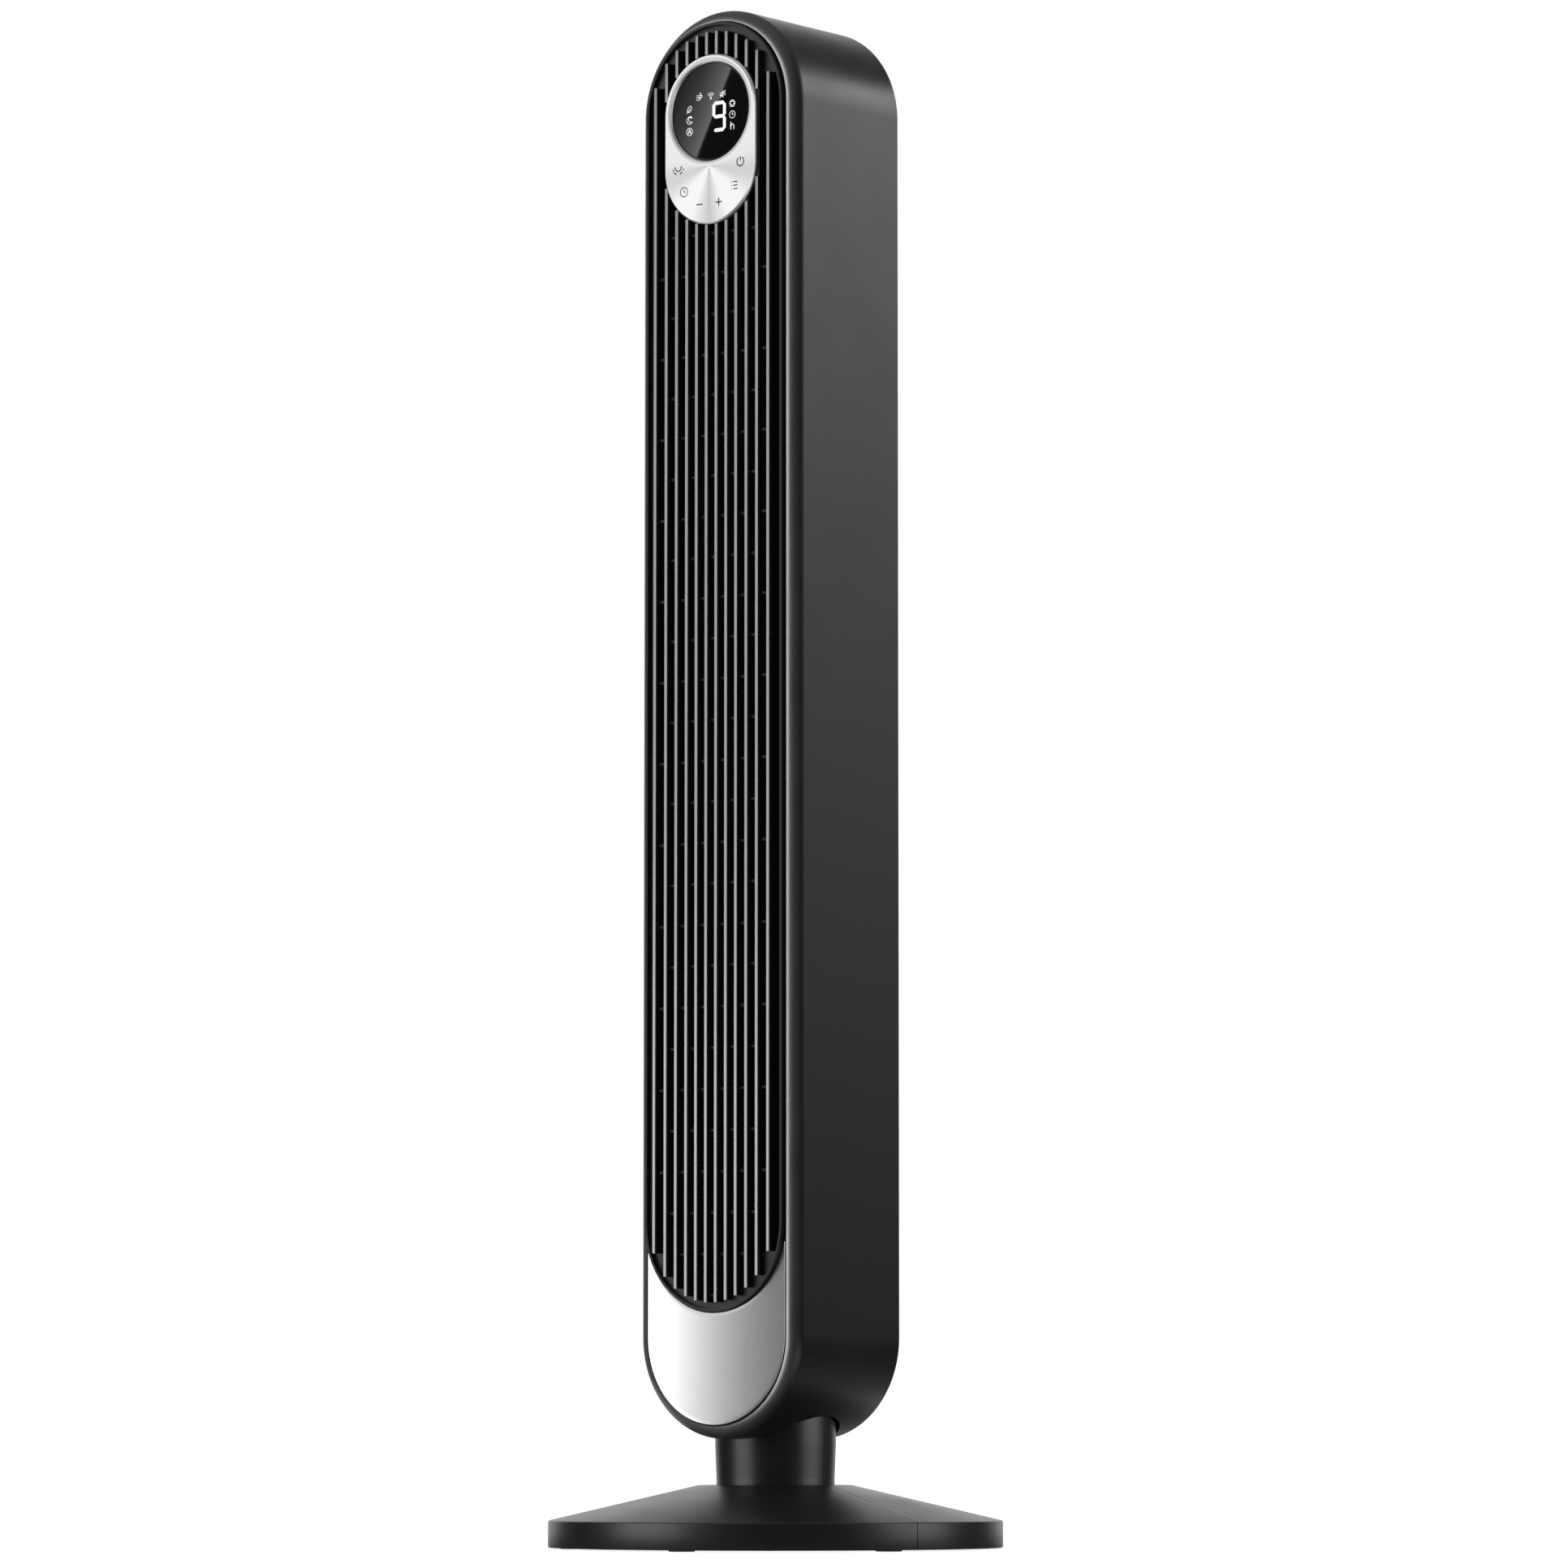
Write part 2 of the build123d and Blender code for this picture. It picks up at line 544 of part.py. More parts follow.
# Screws of both cross plates.
with BuildPart() as bracket_screws:
    for plate_top in (BRACKET_Z + BRACKET_THICK, BEARING_PLATE_Z + BRACKET_THICK):
        with BuildSketch(Plane.XY.offset(plate_top)):
            with Locations(*BRACKET_SCREWS):
                Circle(SCREW_HEAD_RADIUS)
        extrude(amount=SCREW_HEAD_HEIGHT)
        with BuildSketch(Plane.XY.offset(plate_top)):
            with Locations(*BRACKET_SCREWS):
                Circle(SHANK_RADIUS)
        extrude(amount=-8)
save(bracket_screws, "bracket_screws")

# Upper bearing: a rubber cup in the plate's hole with a bronze bush inside.
with BuildPart() as bearing_rubber:
    with BuildSketch(Plane.XY.offset(BEARING_PLATE_Z - BEARING_DROP)):
        Circle(17)
        Circle(BUSH_RADIUS, mode=Mode.SUBTRACT)
    extrude(amount=BEARING_DROP)
    with BuildSketch(Plane.XY.offset(BEARING_PLATE_Z)):
        Circle(BEARING_HOLE_RADIUS)
        Circle(BUSH_RADIUS, mode=Mode.SUBTRACT)
    extrude(amount=BRACKET_THICK)
save(bearing_rubber, "bearing_rubber")

with BuildPart() as upper_bush:
    with BuildSketch(Plane.XY.offset(BEARING_PLATE_Z - BEARING_DROP)):
        Circle(BUSH_RADIUS)
        Circle(SHAFT_RADIUS + RUNNING_CLEARANCE, mode=Mode.SUBTRACT)
    extrude(amount=BEARING_DROP + BRACKET_THICK)
save(upper_bush, "upper_bush")

# ======================================================================
# Head: blower motor
# ======================================================================

with BuildPart() as motor_can:
    with BuildSketch(Plane.XY.offset(MOTOR_LOW_Z)):
        Circle(MOTOR_RADIUS)
    extrude(amount=MOTOR_HIGH_Z - MOTOR_LOW_Z)
    fillet(motor_can.faces().sort_by(Axis.Z)[0].edges(), 4)
    with BuildSketch(Plane.XY.offset(MOTOR_LOW_Z + MOTOR_WALL)):
        Circle(MOTOR_RADIUS - MOTOR_WALL)
    extrude(amount=MOTOR_HIGH_Z - MOTOR_LOW_Z - 2 * MOTOR_WALL, mode=Mode.SUBTRACT)
    with BuildSketch(Plane.XY.offset(MOTOR_HIGH_Z)):
        Circle(6)
    extrude(amount=-2, mode=Mode.SUBTRACT)
save(motor_can, "motor_can")

with BuildPart() as motor_bushes:
    for bush_z in (MOTOR_LOW_Z + MOTOR_WALL, MOTOR_HIGH_Z - MOTOR_WALL - MOTOR_BUSH_LENGTH):
        with BuildSketch(Plane.XY.offset(bush_z)):
            Circle(HUB_RADIUS)
            Circle(SHAFT_RADIUS + RUNNING_CLEARANCE, mode=Mode.SUBTRACT)
        extrude(amount=MOTOR_BUSH_LENGTH)
save(motor_bushes, "motor_bushes")

with BuildPart() as motor_stator:
    with BuildSketch(Plane.XY.offset(STATOR_Z)):
        Circle(MOTOR_RADIUS - MOTOR_WALL)
        Circle(STATOR_BORE_RADIUS, mode=Mode.SUBTRACT)
        with PolarLocations(26, 12):
            Rectangle(7, 3.4, mode=Mode.SUBTRACT)
    extrude(amount=STATOR_HEIGHT)
save(motor_stator, "motor_stator")

with BuildPart() as motor_rubbers:
    with BuildSketch(Plane.XY.offset(MOTOR_HIGH_Z)):
        with PolarLocations(24, 3, start_angle=90):
            Circle(5)
    extrude(amount=BRACKET_Z - MOTOR_HIGH_Z)
save(motor_rubbers, "motor_rubbers")

# Mains and motor driver board, on standoffs from the rear cover.
BOARD_Y = 37.0
BOARD_THICK = 1.6
BOARD_CORNERS = [(x, z) for x in (-36, 36) for z in (126, 194)]
with BuildPart() as main_pcb:
    with BuildSketch(front_plane(BOARD_Y)):
        with Locations((0, 160)):
            RectangleRounded(82, 80, 3)
        with Locations(*BOARD_CORNERS):
            Circle(1.6, mode=Mode.SUBTRACT)
    extrude(amount=-BOARD_THICK)
save(main_pcb, "main_pcb")

with BuildPart() as board_components:
    with BuildSketch(front_plane(BOARD_Y)):
        for x, z, width, height in ((-30, 150, 12, 22), (30, 172, 10, 18), (31, 142, 8, 12)):
            with Locations((x, z)):
                Rectangle(width, height)
    extrude(amount=8)
save(board_components, "board_components")

with BuildPart() as board_standoffs:
    with BuildSketch(front_plane(BOARD_Y + BOARD_THICK)):
        with Locations(*BOARD_CORNERS):
            Circle(3)
    extrude(amount=-(REAR_FLANGE_Y - BOARD_Y - BOARD_THICK))
save(board_standoffs, "board_standoffs")

# ======================================================================
# Impeller, shafts and rotor: they turn together inside the head
# ======================================================================

with BuildSketch() as blade_section:
    with BuildLine():
        ThreePointArc((30, 0), (34.5, 3.2), (39.0, 3.6))
    trace(line_width=1.2)

with BuildPart() as impeller:
    disc_pitch = (IMPELLER_HIGH_Z - IMPELLER_LOW_Z - DISC_THICK) / (IMPELLER_DISCS - 1)
    for index in range(IMPELLER_DISCS):
        with BuildSketch(Plane.XY.offset(IMPELLER_LOW_Z + index * disc_pitch)):
            Circle(IMPELLER_RADIUS)
            if 0 < index < IMPELLER_DISCS - 1:
                Circle(DISC_HOLE_RADIUS, mode=Mode.SUBTRACT)
            else:
                Circle(SHAFT_RADIUS, mode=Mode.SUBTRACT)
        extrude(amount=DISC_THICK)
    for hub_z, hub_length in ((IMPELLER_LOW_Z, HUB_LENGTH), (IMPELLER_HIGH_Z, -HUB_LENGTH)):
        with BuildSketch(Plane.XY.offset(hub_z)):
            Circle(HUB_RADIUS)
            Circle(SHAFT_RADIUS, mode=Mode.SUBTRACT)
        extrude(amount=hub_length)
    with BuildSketch(Plane.XY.offset(IMPELLER_LOW_Z + DISC_THICK / 2)):
        with PolarLocations(0, IMPELLER_BLADES):
            add(blade_section.sketch)
    extrude(amount=IMPELLER_HIGH_Z - IMPELLER_LOW_Z - DISC_THICK)
save(impeller, "impeller")

with BuildPart() as motor_shaft:
    with BuildSketch(Plane.XY.offset(MOTOR_LOW_Z + 2.5)):
        Circle(SHAFT_RADIUS)
    extrude(amount=IMPELLER_LOW_Z + HUB_LENGTH - MOTOR_LOW_Z - 2.5)
save(motor_shaft, "motor_shaft")

with BuildPart() as upper_shaft:
    with BuildSketch(Plane.XY.offset(IMPELLER_HIGH_Z - HUB_LENGTH)):
        Circle(SHAFT_RADIUS)
    extrude(amount=BEARING_PLATE_Z + 2 - IMPELLER_HIGH_Z + HUB_LENGTH)
save(upper_shaft, "upper_shaft")

with BuildPart() as motor_rotor:
    with BuildSketch(Plane.XY.offset(STATOR_Z - 1)):
        Circle(ROTOR_RADIUS)
        Circle(SHAFT_RADIUS, mode=Mode.SUBTRACT)
    extrude(amount=STATOR_HEIGHT + 2)
save(motor_rotor, "motor_rotor")

# ======================================================================
# Swivel: plate and motor in the head, gear and washer on the neck
# ======================================================================

with BuildPart() as swivel_plate:
    with BuildSketch(Plane.XY.offset(SWIVEL_PLATE_Z)):
        with Locations((0, -5.5)):
            RectangleRounded(91, 97, 6)
        Circle(SPIGOT_RADIUS + RUNNING_CLEARANCE, mode=Mode.SUBTRACT)
        with Locations(*SWIVEL_SCREWS):
            Circle(CLEARANCE_RADIUS, mode=Mode.SUBTRACT)
    extrude(amount=SWIVEL_PLATE_THICK)
    with BuildSketch(Plane.XY.offset(SWIVEL_TOP_Z)):
        with Locations((-MOTOR_EAR_X, PINION_Y), (MOTOR_EAR_X, PINION_Y)):
            Circle(3.2)
            Circle(SMALL_PILOT_RADIUS, mode=Mode.SUBTRACT)
    extrude(amount=SWIVEL_MOTOR_Z - SWIVEL_TOP_Z)
save(swivel_plate, "swivel_plate")

with BuildPart() as swivel_screws:
    with BuildSketch(Plane.XY.offset(SWIVEL_TOP_Z)):
        with Locations(*SWIVEL_SCREWS):
            Circle(SCREW_HEAD_RADIUS)
    extrude(amount=SCREW_HEAD_HEIGHT)
    with BuildSketch(Plane.XY.offset(SWIVEL_TOP_Z)):
        with Locations(*SWIVEL_SCREWS):
            Circle(SHANK_RADIUS)
    extrude(amount=-9)
save(swivel_screws, "swivel_screws")

with BuildPart() as swivel_motor:
    with BuildSketch(Plane.XY.offset(SWIVEL_MOTOR_Z)):
        with Locations((0, PINION_Y)):
            Circle(SWIVEL_MOTOR_RADIUS)
            SlotCenterToCenter(2 * MOTOR_EAR_X, 7)
        with Locations((-MOTOR_EAR_X, PINION_Y), (MOTOR_EAR_X, PINION_Y)):
            Circle(1.6, mode=Mode.SUBTRACT)
    extrude(amount=MOTOR_EAR_THICK)
    with BuildSketch(Plane.XY.offset(SWIVEL_MOTOR_Z)):
        with Locations((0, PINION_Y)):
            Circle(SWIVEL_MOTOR_RADIUS)
    extrude(amount=19)
    with BuildSketch(Plane.XY.offset(SWIVEL_MOTOR_Z)):
        with Locations((0, PINION_Y)):
            Circle(PINION_SHAFT_RADIUS + RUNNING_CLEARANCE)
    extrude(amount=8, mode=Mode.SUBTRACT)
save(swivel_motor, "swivel_motor")

with BuildPart() as swivel_motor_screws:
    for height, radius in ((1.6, SMALL_HEAD_RADIUS), (-6, SMALL_SHANK_RADIUS)):
        with BuildSketch(Plane.XY.offset(SWIVEL_MOTOR_Z + MOTOR_EAR_THICK)):
            with Locations((-MOTOR_EAR_X, PINION_Y), (MOTOR_EAR_X, PINION_Y)):
                Circle(radius)
        extrude(amount=height)
save(swivel_motor_screws, "swivel_motor_screws")


def involute(angle):
    """Involute function of a pressure angle in radians."""
    return math.tan(angle) - angle


def gear_sketch(teeth, bore_radius, start_angle):
    """Spur gear outline with involute flanks, added to the sketch in progress."""
    pitch_radius = GEAR_MODULE * teeth / 2
    base_radius = pitch_radius * math.cos(PRESSURE_ANGLE)
    tip_radius = pitch_radius + 0.8 * GEAR_MODULE
    root_radius = pitch_radius - 1.2 * GEAR_MODULE
    half_tooth = math.pi / (2 * teeth) - GEAR_BACKLASH / (2 * pitch_radius)
    flank = []
    start_radius = max(base_radius, root_radius)
    for step in range(5):
        radius = start_radius + (tip_radius - start_radius) * step / 4
        angle = half_tooth + involute(PRESSURE_ANGLE) - involute(math.acos(base_radius / radius))
        flank.append((radius * math.cos(angle), radius * math.sin(angle)))
    foot_angle = math.atan2(flank[0][1], flank[0][0])
    foot = (0.95 * root_radius * math.cos(foot_angle), 0.95 * root_radius * math.sin(foot_angle))
    upper = [foot] + flank
    lower = [(x, -y) for x, y in reversed(upper)]
    Circle(root_radius)
    with BuildSketch(mode=Mode.PRIVATE) as tooth:
        with BuildLine():
            Polyline(*upper, *lower, close=True)
        make_face()
    with PolarLocations(0, teeth, start_angle=start_angle):
        add(tooth.sketch)
    Circle(bore_radius, mode=Mode.SUBTRACT)


# Fixed gear on the neck's spigot; one tooth points at the pinion.
with BuildPart() as swivel_gear:
    with BuildSketch(Plane.XY.offset(GEAR_LOW_Z)):
        gear_sketch(GEAR_TEETH, SPIGOT_RADIUS, -90)
    extrude(amount=GEAR_HEIGHT)
save(swivel_gear, "swivel_gear")

# Pinion under the swivel motor; one of its gaps faces the fixed gear.
with BuildPart() as swivel_pinion:
    with BuildSketch(Plane.XY.offset(GEAR_LOW_Z + PINION_INSET).move(Location((0, PINION_Y, 0)))):
        gear_sketch(PINION_TEETH, PINION_SHAFT_RADIUS, 90 + 180 / PINION_TEETH)
    extrude(amount=GEAR_HEIGHT - 2 * PINION_INSET)
save(swivel_pinion, "swivel_pinion")

with BuildPart() as pinion_shaft:
    with BuildSketch(Plane.XY.offset(GEAR_LOW_Z + PINION_INSET)):
        with Locations((0, PINION_Y)):
            Circle(PINION_SHAFT_RADIUS)
    extrude(amount=SWIVEL_MOTOR_Z + 7 - GEAR_LOW_Z)
save(pinion_shaft, "pinion_shaft")

with BuildPart() as thrust_washer:
    with BuildSketch(Plane.XY.offset(NECK_TOP_Z)):
        Circle(38)
        Circle(SPIGOT_RADIUS, mode=Mode.SUBTRACT)
    extrude(amount=1.5)
save(thrust_washer, "thrust_washer")

with BuildPart() as swivel_retainer:
    with BuildSketch(Plane.XY.offset(SPIGOT_TOP_Z)):
        Circle(26)
        Circle(SPIGOT_BORE, mode=Mode.SUBTRACT)
        with PolarLocations(RETAINER_SCREW_CIRCLE, 3):
            Circle(1.4, mode=Mode.SUBTRACT)
    extrude(amount=RETAINER_THICK)
save(swivel_retainer, "swivel_retainer")

# ======================================================================
# Stand: neck and base
# ======================================================================

with BuildPart() as neck_column:
    with BuildSketch(Plane.XZ):
        with BuildLine():
            Polyline(
                (NECK_FOOT_RADIUS, FLANGE_HIGH_Z), (NECK_FOOT_RADIUS, 49), (NECK_RADIUS, 72),
                (NECK_RADIUS, NECK_TOP_Z), (SPIGOT_RADIUS, NECK_TOP_Z),
                (SPIGOT_RADIUS, SPIGOT_TOP_Z), (SPIGOT_BORE, SPIGOT_TOP_Z),
                (SPIGOT_BORE, NECK_TOP_Z - 3), (NECK_BORE_RADIUS, NECK_TOP_Z - 3),
                (NECK_BORE_RADIUS, FLANGE_LOW_Z), (48, FLANGE_LOW_Z), (48, FLANGE_HIGH_Z), close=True,
            )
        make_face()
    revolve(axis=Axis.Z)
    with BuildSketch(Plane.XY.offset(SPIGOT_TOP_Z)):
        with PolarLocations(RETAINER_SCREW_CIRCLE, 3):
            Circle(SMALL_PILOT_RADIUS)
    extrude(amount=-8, mode=Mode.SUBTRACT)
save(neck_column, "neck_column")

with BuildPart() as retainer_screws:
    for height, radius in ((1.0, SMALL_HEAD_RADIUS), (-8, SMALL_SHANK_RADIUS)):
        with BuildSketch(Plane.XY.offset(SPIGOT_TOP_Z + RETAINER_THICK)):
            with PolarLocations(RETAINER_SCREW_CIRCLE, 3):
                Circle(radius)
        extrude(amount=height)
save(retainer_screws, "retainer_screws")

# Large ring nut that clamps the neck's flange up against the base.
with BuildPart() as neck_nut:
    with BuildSketch(Plane.XY.offset(FLANGE_LOW_Z - 8)):
        Circle(46)
        Circle(32, mode=Mode.SUBTRACT)
        with PolarLocations(45, 6):
            Rectangle(6, 10)
    extrude(amount=8)
save(neck_nut, "neck_nut")

BASE_SCREW_ANGLES = [BASE_SPLIT_DEG + angle for angle in (35, 90, 145, 215, 270, 325)]
BASE_SCREWS = [
    (BASE_SCREW_RADIUS * math.cos(math.radians(a)), BASE_SCREW_RADIUS * math.sin(math.radians(a)))
    for a in BASE_SCREW_ANGLES
]
BOSS_LOW_Z = BASE_COVER_Z + BASE_COVER_THICK
BASE_SLOPE = (BASE_LEDGE_Z - BASE_RIM_Z) / (BASE_RADIUS - BASE_LEDGE_RADIUS)
BASE_INNER_RIM_Z = BASE_RIM_Z - BASE_WALL + BASE_WALL * BASE_SLOPE
BASE_CEILING_Z = BASE_LEDGE_Z - BASE_WALL + 0.3
BOSS_TOP_Z = BASE_LEDGE_Z - (BASE_SCREW_RADIUS - BASE_LEDGE_RADIUS) * BASE_SLOPE - 3

# Whole conical skin of the base with its screw bosses; the two halves are cut from it.
with BuildPart() as base_skin:
    with BuildSketch(Plane.XZ):
        with BuildLine():
            Polyline(
                (NECK_FOOT_RADIUS + 0.3, BASE_LEDGE_Z), (BASE_LEDGE_RADIUS, BASE_LEDGE_Z),
                (BASE_RADIUS, BASE_RIM_Z), (BASE_RADIUS, BASE_LIFT),
                (BASE_RADIUS - BASE_WALL, BASE_LIFT), (BASE_RADIUS - BASE_WALL, BASE_INNER_RIM_Z),
                (BASE_LEDGE_RADIUS, BASE_CEILING_Z), (NECK_FOOT_RADIUS + 0.3, BASE_CEILING_Z),
                close=True,
            )
        make_face()
    revolve(axis=Axis.Z)
    rim_edges = base_skin.edges().filter_by(GeomType.CIRCLE).sort_by(SortBy.RADIUS)[-2:]
    fillet(rim_edges.sort_by(Axis.Z)[-1], 1.0)
    with BuildSketch(Plane.XY.offset(BOSS_LOW_Z)):
        with Locations(*BASE_SCREWS):
            Circle(5)
    extrude(amount=BOSS_TOP_Z - BOSS_LOW_Z)
    with BuildSketch(Plane.XY.offset(BOSS_LOW_Z)):
        with Locations(*BASE_SCREWS):
            Circle(1.6)
    extrude(amount=12, mode=Mode.SUBTRACT)

with BuildPart() as base_front_half:
    add(base_skin.part)
    split(bisect_by=BASE_SPLIT, keep=Keep.TOP)
save(base_front_half, "base_front_half")

with BuildPart() as base_rear_half:
    add(base_skin.part)
    split(bisect_by=BASE_SPLIT, keep=Keep.BOTTOM)
    # Round hole in the rim for the cord's gland.
    with BuildSketch(front_plane(BASE_RADIUS + 2)):
        with Locations((0, GLAND_Z)):
            Circle(GLAND_RADIUS)
    extrude(amount=BASE_WALL + 4, mode=Mode.SUBTRACT)
save(base_rear_half, "base_rear_half")

# Moulded gland for a flat twin cord.
with BuildPart() as cord_gland:
    with BuildSketch(front_plane(BASE_RADIUS - 0.2)):
        with Locations((0, GLAND_Z)):
            Circle(GLAND_RADIUS)
            SlotOverall(*GLAND_SLOT, mode=Mode.SUBTRACT)
    extrude(amount=16)
    with BuildSketch(front_plane(BASE_RADIUS - BASE_WALL - 0.2)):
        with Locations((0, GLAND_Z)):
            Circle(GLAND_RADIUS + 0.3)
            SlotOverall(*GLAND_SLOT, mode=Mode.SUBTRACT)
    extrude(amount=2.5)
save(cord_gland, "cord_gland")

with BuildPart() as bottom_cover:
    with BuildSketch(Plane.XY.offset(BASE_COVER_Z)):
        Circle(BASE_RADIUS - BASE_WALL - 0.3)
        with Locations(*BASE_SCREWS):
            Circle(CLEARANCE_RADIUS, mode=Mode.SUBTRACT)
    extrude(amount=BASE_COVER_THICK)
save(bottom_cover, "bottom_cover")

with BuildPart() as ballast_plate:
    with BuildSketch(Plane.XY.offset(BOSS_LOW_Z)):
        Circle(112)
    extrude(amount=BALLAST_THICK)
save(ballast_plate, "ballast_plate")

with BuildPart() as base_screws:
    with BuildSketch(Plane.XY.offset(BASE_COVER_Z)):
        with Locations(*BASE_SCREWS):
            Circle(3.0)
    extrude(amount=-1.6)
    with BuildSketch(Plane.XY.offset(BASE_COVER_Z)):
        with Locations(*BASE_SCREWS):
            Circle(1.55)
    extrude(amount=12)
save(base_screws, "base_screws")

with BuildPart() as rubber_feet:
    with BuildSketch(Plane.XY.offset(0)):
        with PolarLocations(140, 6, start_angle=BASE_SPLIT_DEG + 60):
            Circle(9)
    extrude(amount=BASE_COVER_Z)
    fillet(rubber_feet.faces().sort_by(Axis.Z)[0:6].edges(), 0.6)
save(rubber_feet, "rubber_feet")
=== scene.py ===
import json
import math

import bmesh
import bpy
from mathutils import Matrix, Vector


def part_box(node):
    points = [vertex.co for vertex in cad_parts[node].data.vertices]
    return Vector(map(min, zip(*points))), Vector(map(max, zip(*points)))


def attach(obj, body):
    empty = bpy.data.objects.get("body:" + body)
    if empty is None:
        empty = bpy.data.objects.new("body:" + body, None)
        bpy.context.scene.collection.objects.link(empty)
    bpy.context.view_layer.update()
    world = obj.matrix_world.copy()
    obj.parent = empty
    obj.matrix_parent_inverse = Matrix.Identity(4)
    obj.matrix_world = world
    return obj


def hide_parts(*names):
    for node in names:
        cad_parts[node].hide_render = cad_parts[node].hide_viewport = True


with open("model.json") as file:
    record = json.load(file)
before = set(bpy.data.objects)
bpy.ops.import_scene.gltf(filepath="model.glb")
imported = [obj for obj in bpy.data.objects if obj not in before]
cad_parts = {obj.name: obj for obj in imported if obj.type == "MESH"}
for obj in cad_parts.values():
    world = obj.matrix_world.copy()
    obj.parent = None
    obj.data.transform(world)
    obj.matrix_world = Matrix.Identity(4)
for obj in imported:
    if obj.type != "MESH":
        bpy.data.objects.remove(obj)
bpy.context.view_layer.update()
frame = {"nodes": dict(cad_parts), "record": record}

MM = 0.001
ARC_STEPS = 56
EYE = (3.1118, -3.8598, 0.0782)
VIEW_FORWARD = (-0.62411, 0.77601, 0.09107)
VIEW_LENS = 163.51

# ---------------------------------------------------------------- places, from the frame
shell_low, shell_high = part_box("main_shell")
plate_low, plate_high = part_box("control_plate")
ring_low, ring_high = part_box("display_ring")
lens_low, lens_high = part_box("display_lens")
panel_low, panel_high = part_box("lower_panel")
trims_low, trims_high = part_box("slat_trims")

HEAD_RADIUS = shell_high.x
ARC_HIGH_Z = shell_high.z - HEAD_RADIUS
PANEL_RADIUS = panel_high.x
PANEL_ARC_Z = panel_low.z + PANEL_RADIUS
PLATE_RADIUS = plate_high.x
PLATE_LOW_Z = plate_low.z + PLATE_RADIUS
PLATE_HIGH_Z = plate_high.z - PLATE_RADIUS
DISPLAY_Z = (ring_low.z + ring_high.z) / 2
RING_RADIUS = ring_high.x
LENS_RADIUS = lens_high.x

# ---------------------------------------------------------------- sizes: casing
SHELL_FILLET = 9.7 * MM
SHELL_WALL = 3.0 * MM
SHELL_LIP_RADIUS = 61.7 * MM
SHELL_EDGE_EASE = 0.25 * MM
SHELL_BAND_Y = 45.2 * MM
CAVITY_FILLET = 4.0 * MM
NECK_HOLE_RADIUS = 44.5 * MM
NECK_HOLE_Z = (60 * MM, 112 * MM)
SMOOTH_ANGLE = 35
REAR_BOSS_REACH = 63.5 * MM
REAR_BOSS_HEIGHTS = (170 * MM, 440 * MM, 720 * MM, 985 * MM)
REAR_BOSS_RADIUS = 4.5 * MM
REAR_BOSS_Y = (20 * MM, 44 * MM)
SWIVEL_BOSS_X = 37 * MM
SWIVEL_BOSS_DEPTHS = (-48 * MM, 38 * MM)
SWIVEL_BOSS_RADIUS = 4 * MM
SWIVEL_BOSS_Z = (88.9 * MM, 97.6 * MM)
SCREEN_X = 46.5 * MM
SCREEN_Y = (52.6 * MM, 53.2 * MM)
SCREEN_Z = (236 * MM, 890 * MM)

# ---------------------------------------------------------------- sizes: grille and panel
GRILLE_LOW_ARC_Z = 223.4 * MM
GRILLE_RADIUS = 60.8 * MM
GRILLE_RIM_Y = -69.0 * MM
SLAT_END_RADIUS = 54.4 * MM
SLAT_X = [4.41 * MM, 13.25 * MM, 22.09 * MM, 31.29 * MM, 40.62 * MM, 50.64 * MM]
SLATS = sorted([-x for x in SLAT_X] + SLAT_X)
SLAT_HALF_WIDTH = 1.15 * MM
RIB_HALF_HEIGHT = 1.15 * MM
RIB_Y = (-68.2 * MM, -66.0 * MM)
RIB_LIP = 0.35 * MM
RIB_TOP_ROWS = (883.9 * MM, 912.3 * MM)
RIB_PITCH = 56.8 * MM
RIB_ROWS = 14
PANEL_BORDER = 0.5 * MM
PANEL_GAP = 0.5 * MM
PANEL_CROWN = 2.0 * MM

# ---------------------------------------------------------------- sizes: display
DIGIT_LEFT = 2.65 * MM
DIGIT_RIGHT = 12.25 * MM
DIGIT_BAR_HEIGHTS = (983.5 * MM, 993.05 * MM, 1002.6 * MM)
DIGIT_BAR_HALF = 1.15 * MM
DIGIT_BAR_GAP = 0.18 * MM
DIGIT_X = (DIGIT_LEFT + DIGIT_RIGHT) / 2
DIGIT_HALF_WIDTH = 6.4 * MM
DIGIT_TOP_Z = 1004.2 * MM
SIGN_GLOW = 0.62
TOUCH_ICON_CIRCLE = 28
TOUCH_ICON_STEP = 36

# ---------------------------------------------------------------- sizes: base
BASE_RADIUS = 157.5
BASE_LEDGE_RADIUS = 53.5
BASE_HOLE_RADIUS = 41.3
BASE_WALL = 3.0
BASE_STEPS = 256
SPLIT_DEG = -18.0
SPLIT_OFFSET = 12.0 * MM
SEAM_HALF_GAP = 0.25 * MM


# ---------------------------------------------------------------- mesh helpers
def finish_mesh(name, bm, material, body, replaces=(), sharp=30.0):
    """Turn a bmesh into a piece that rides on a body."""
    bmesh.ops.remove_doubles(bm, verts=bm.verts, dist=1e-7)
    bmesh.ops.recalc_face_normals(bm, faces=bm.faces)
    mesh = bpy.data.meshes.new(name)
    bm.to_mesh(mesh)
    bm.free()
    for polygon in mesh.polygons:
        polygon.use_smooth = True
    mesh.set_sharp_from_angle(angle=math.radians(sharp))
    mesh.materials.append(material)
    piece = bpy.data.objects.new(name, mesh)
    bpy.context.scene.collection.objects.link(piece)
    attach(piece, body)
    if replaces:
        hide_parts(*replaces)
    return piece


def arc(radius, start, end, steps=14, centre=(0.0, 0.0)):
    """Points on an arc in the x-z plane, from start to end in degrees."""
    points = []
    for i in range(steps + 1):
        angle = math.radians(start + (end - start) * i / steps)
        points.append((centre[0] + radius * math.cos(angle), centre[1] + radius * math.sin(angle)))
    return points


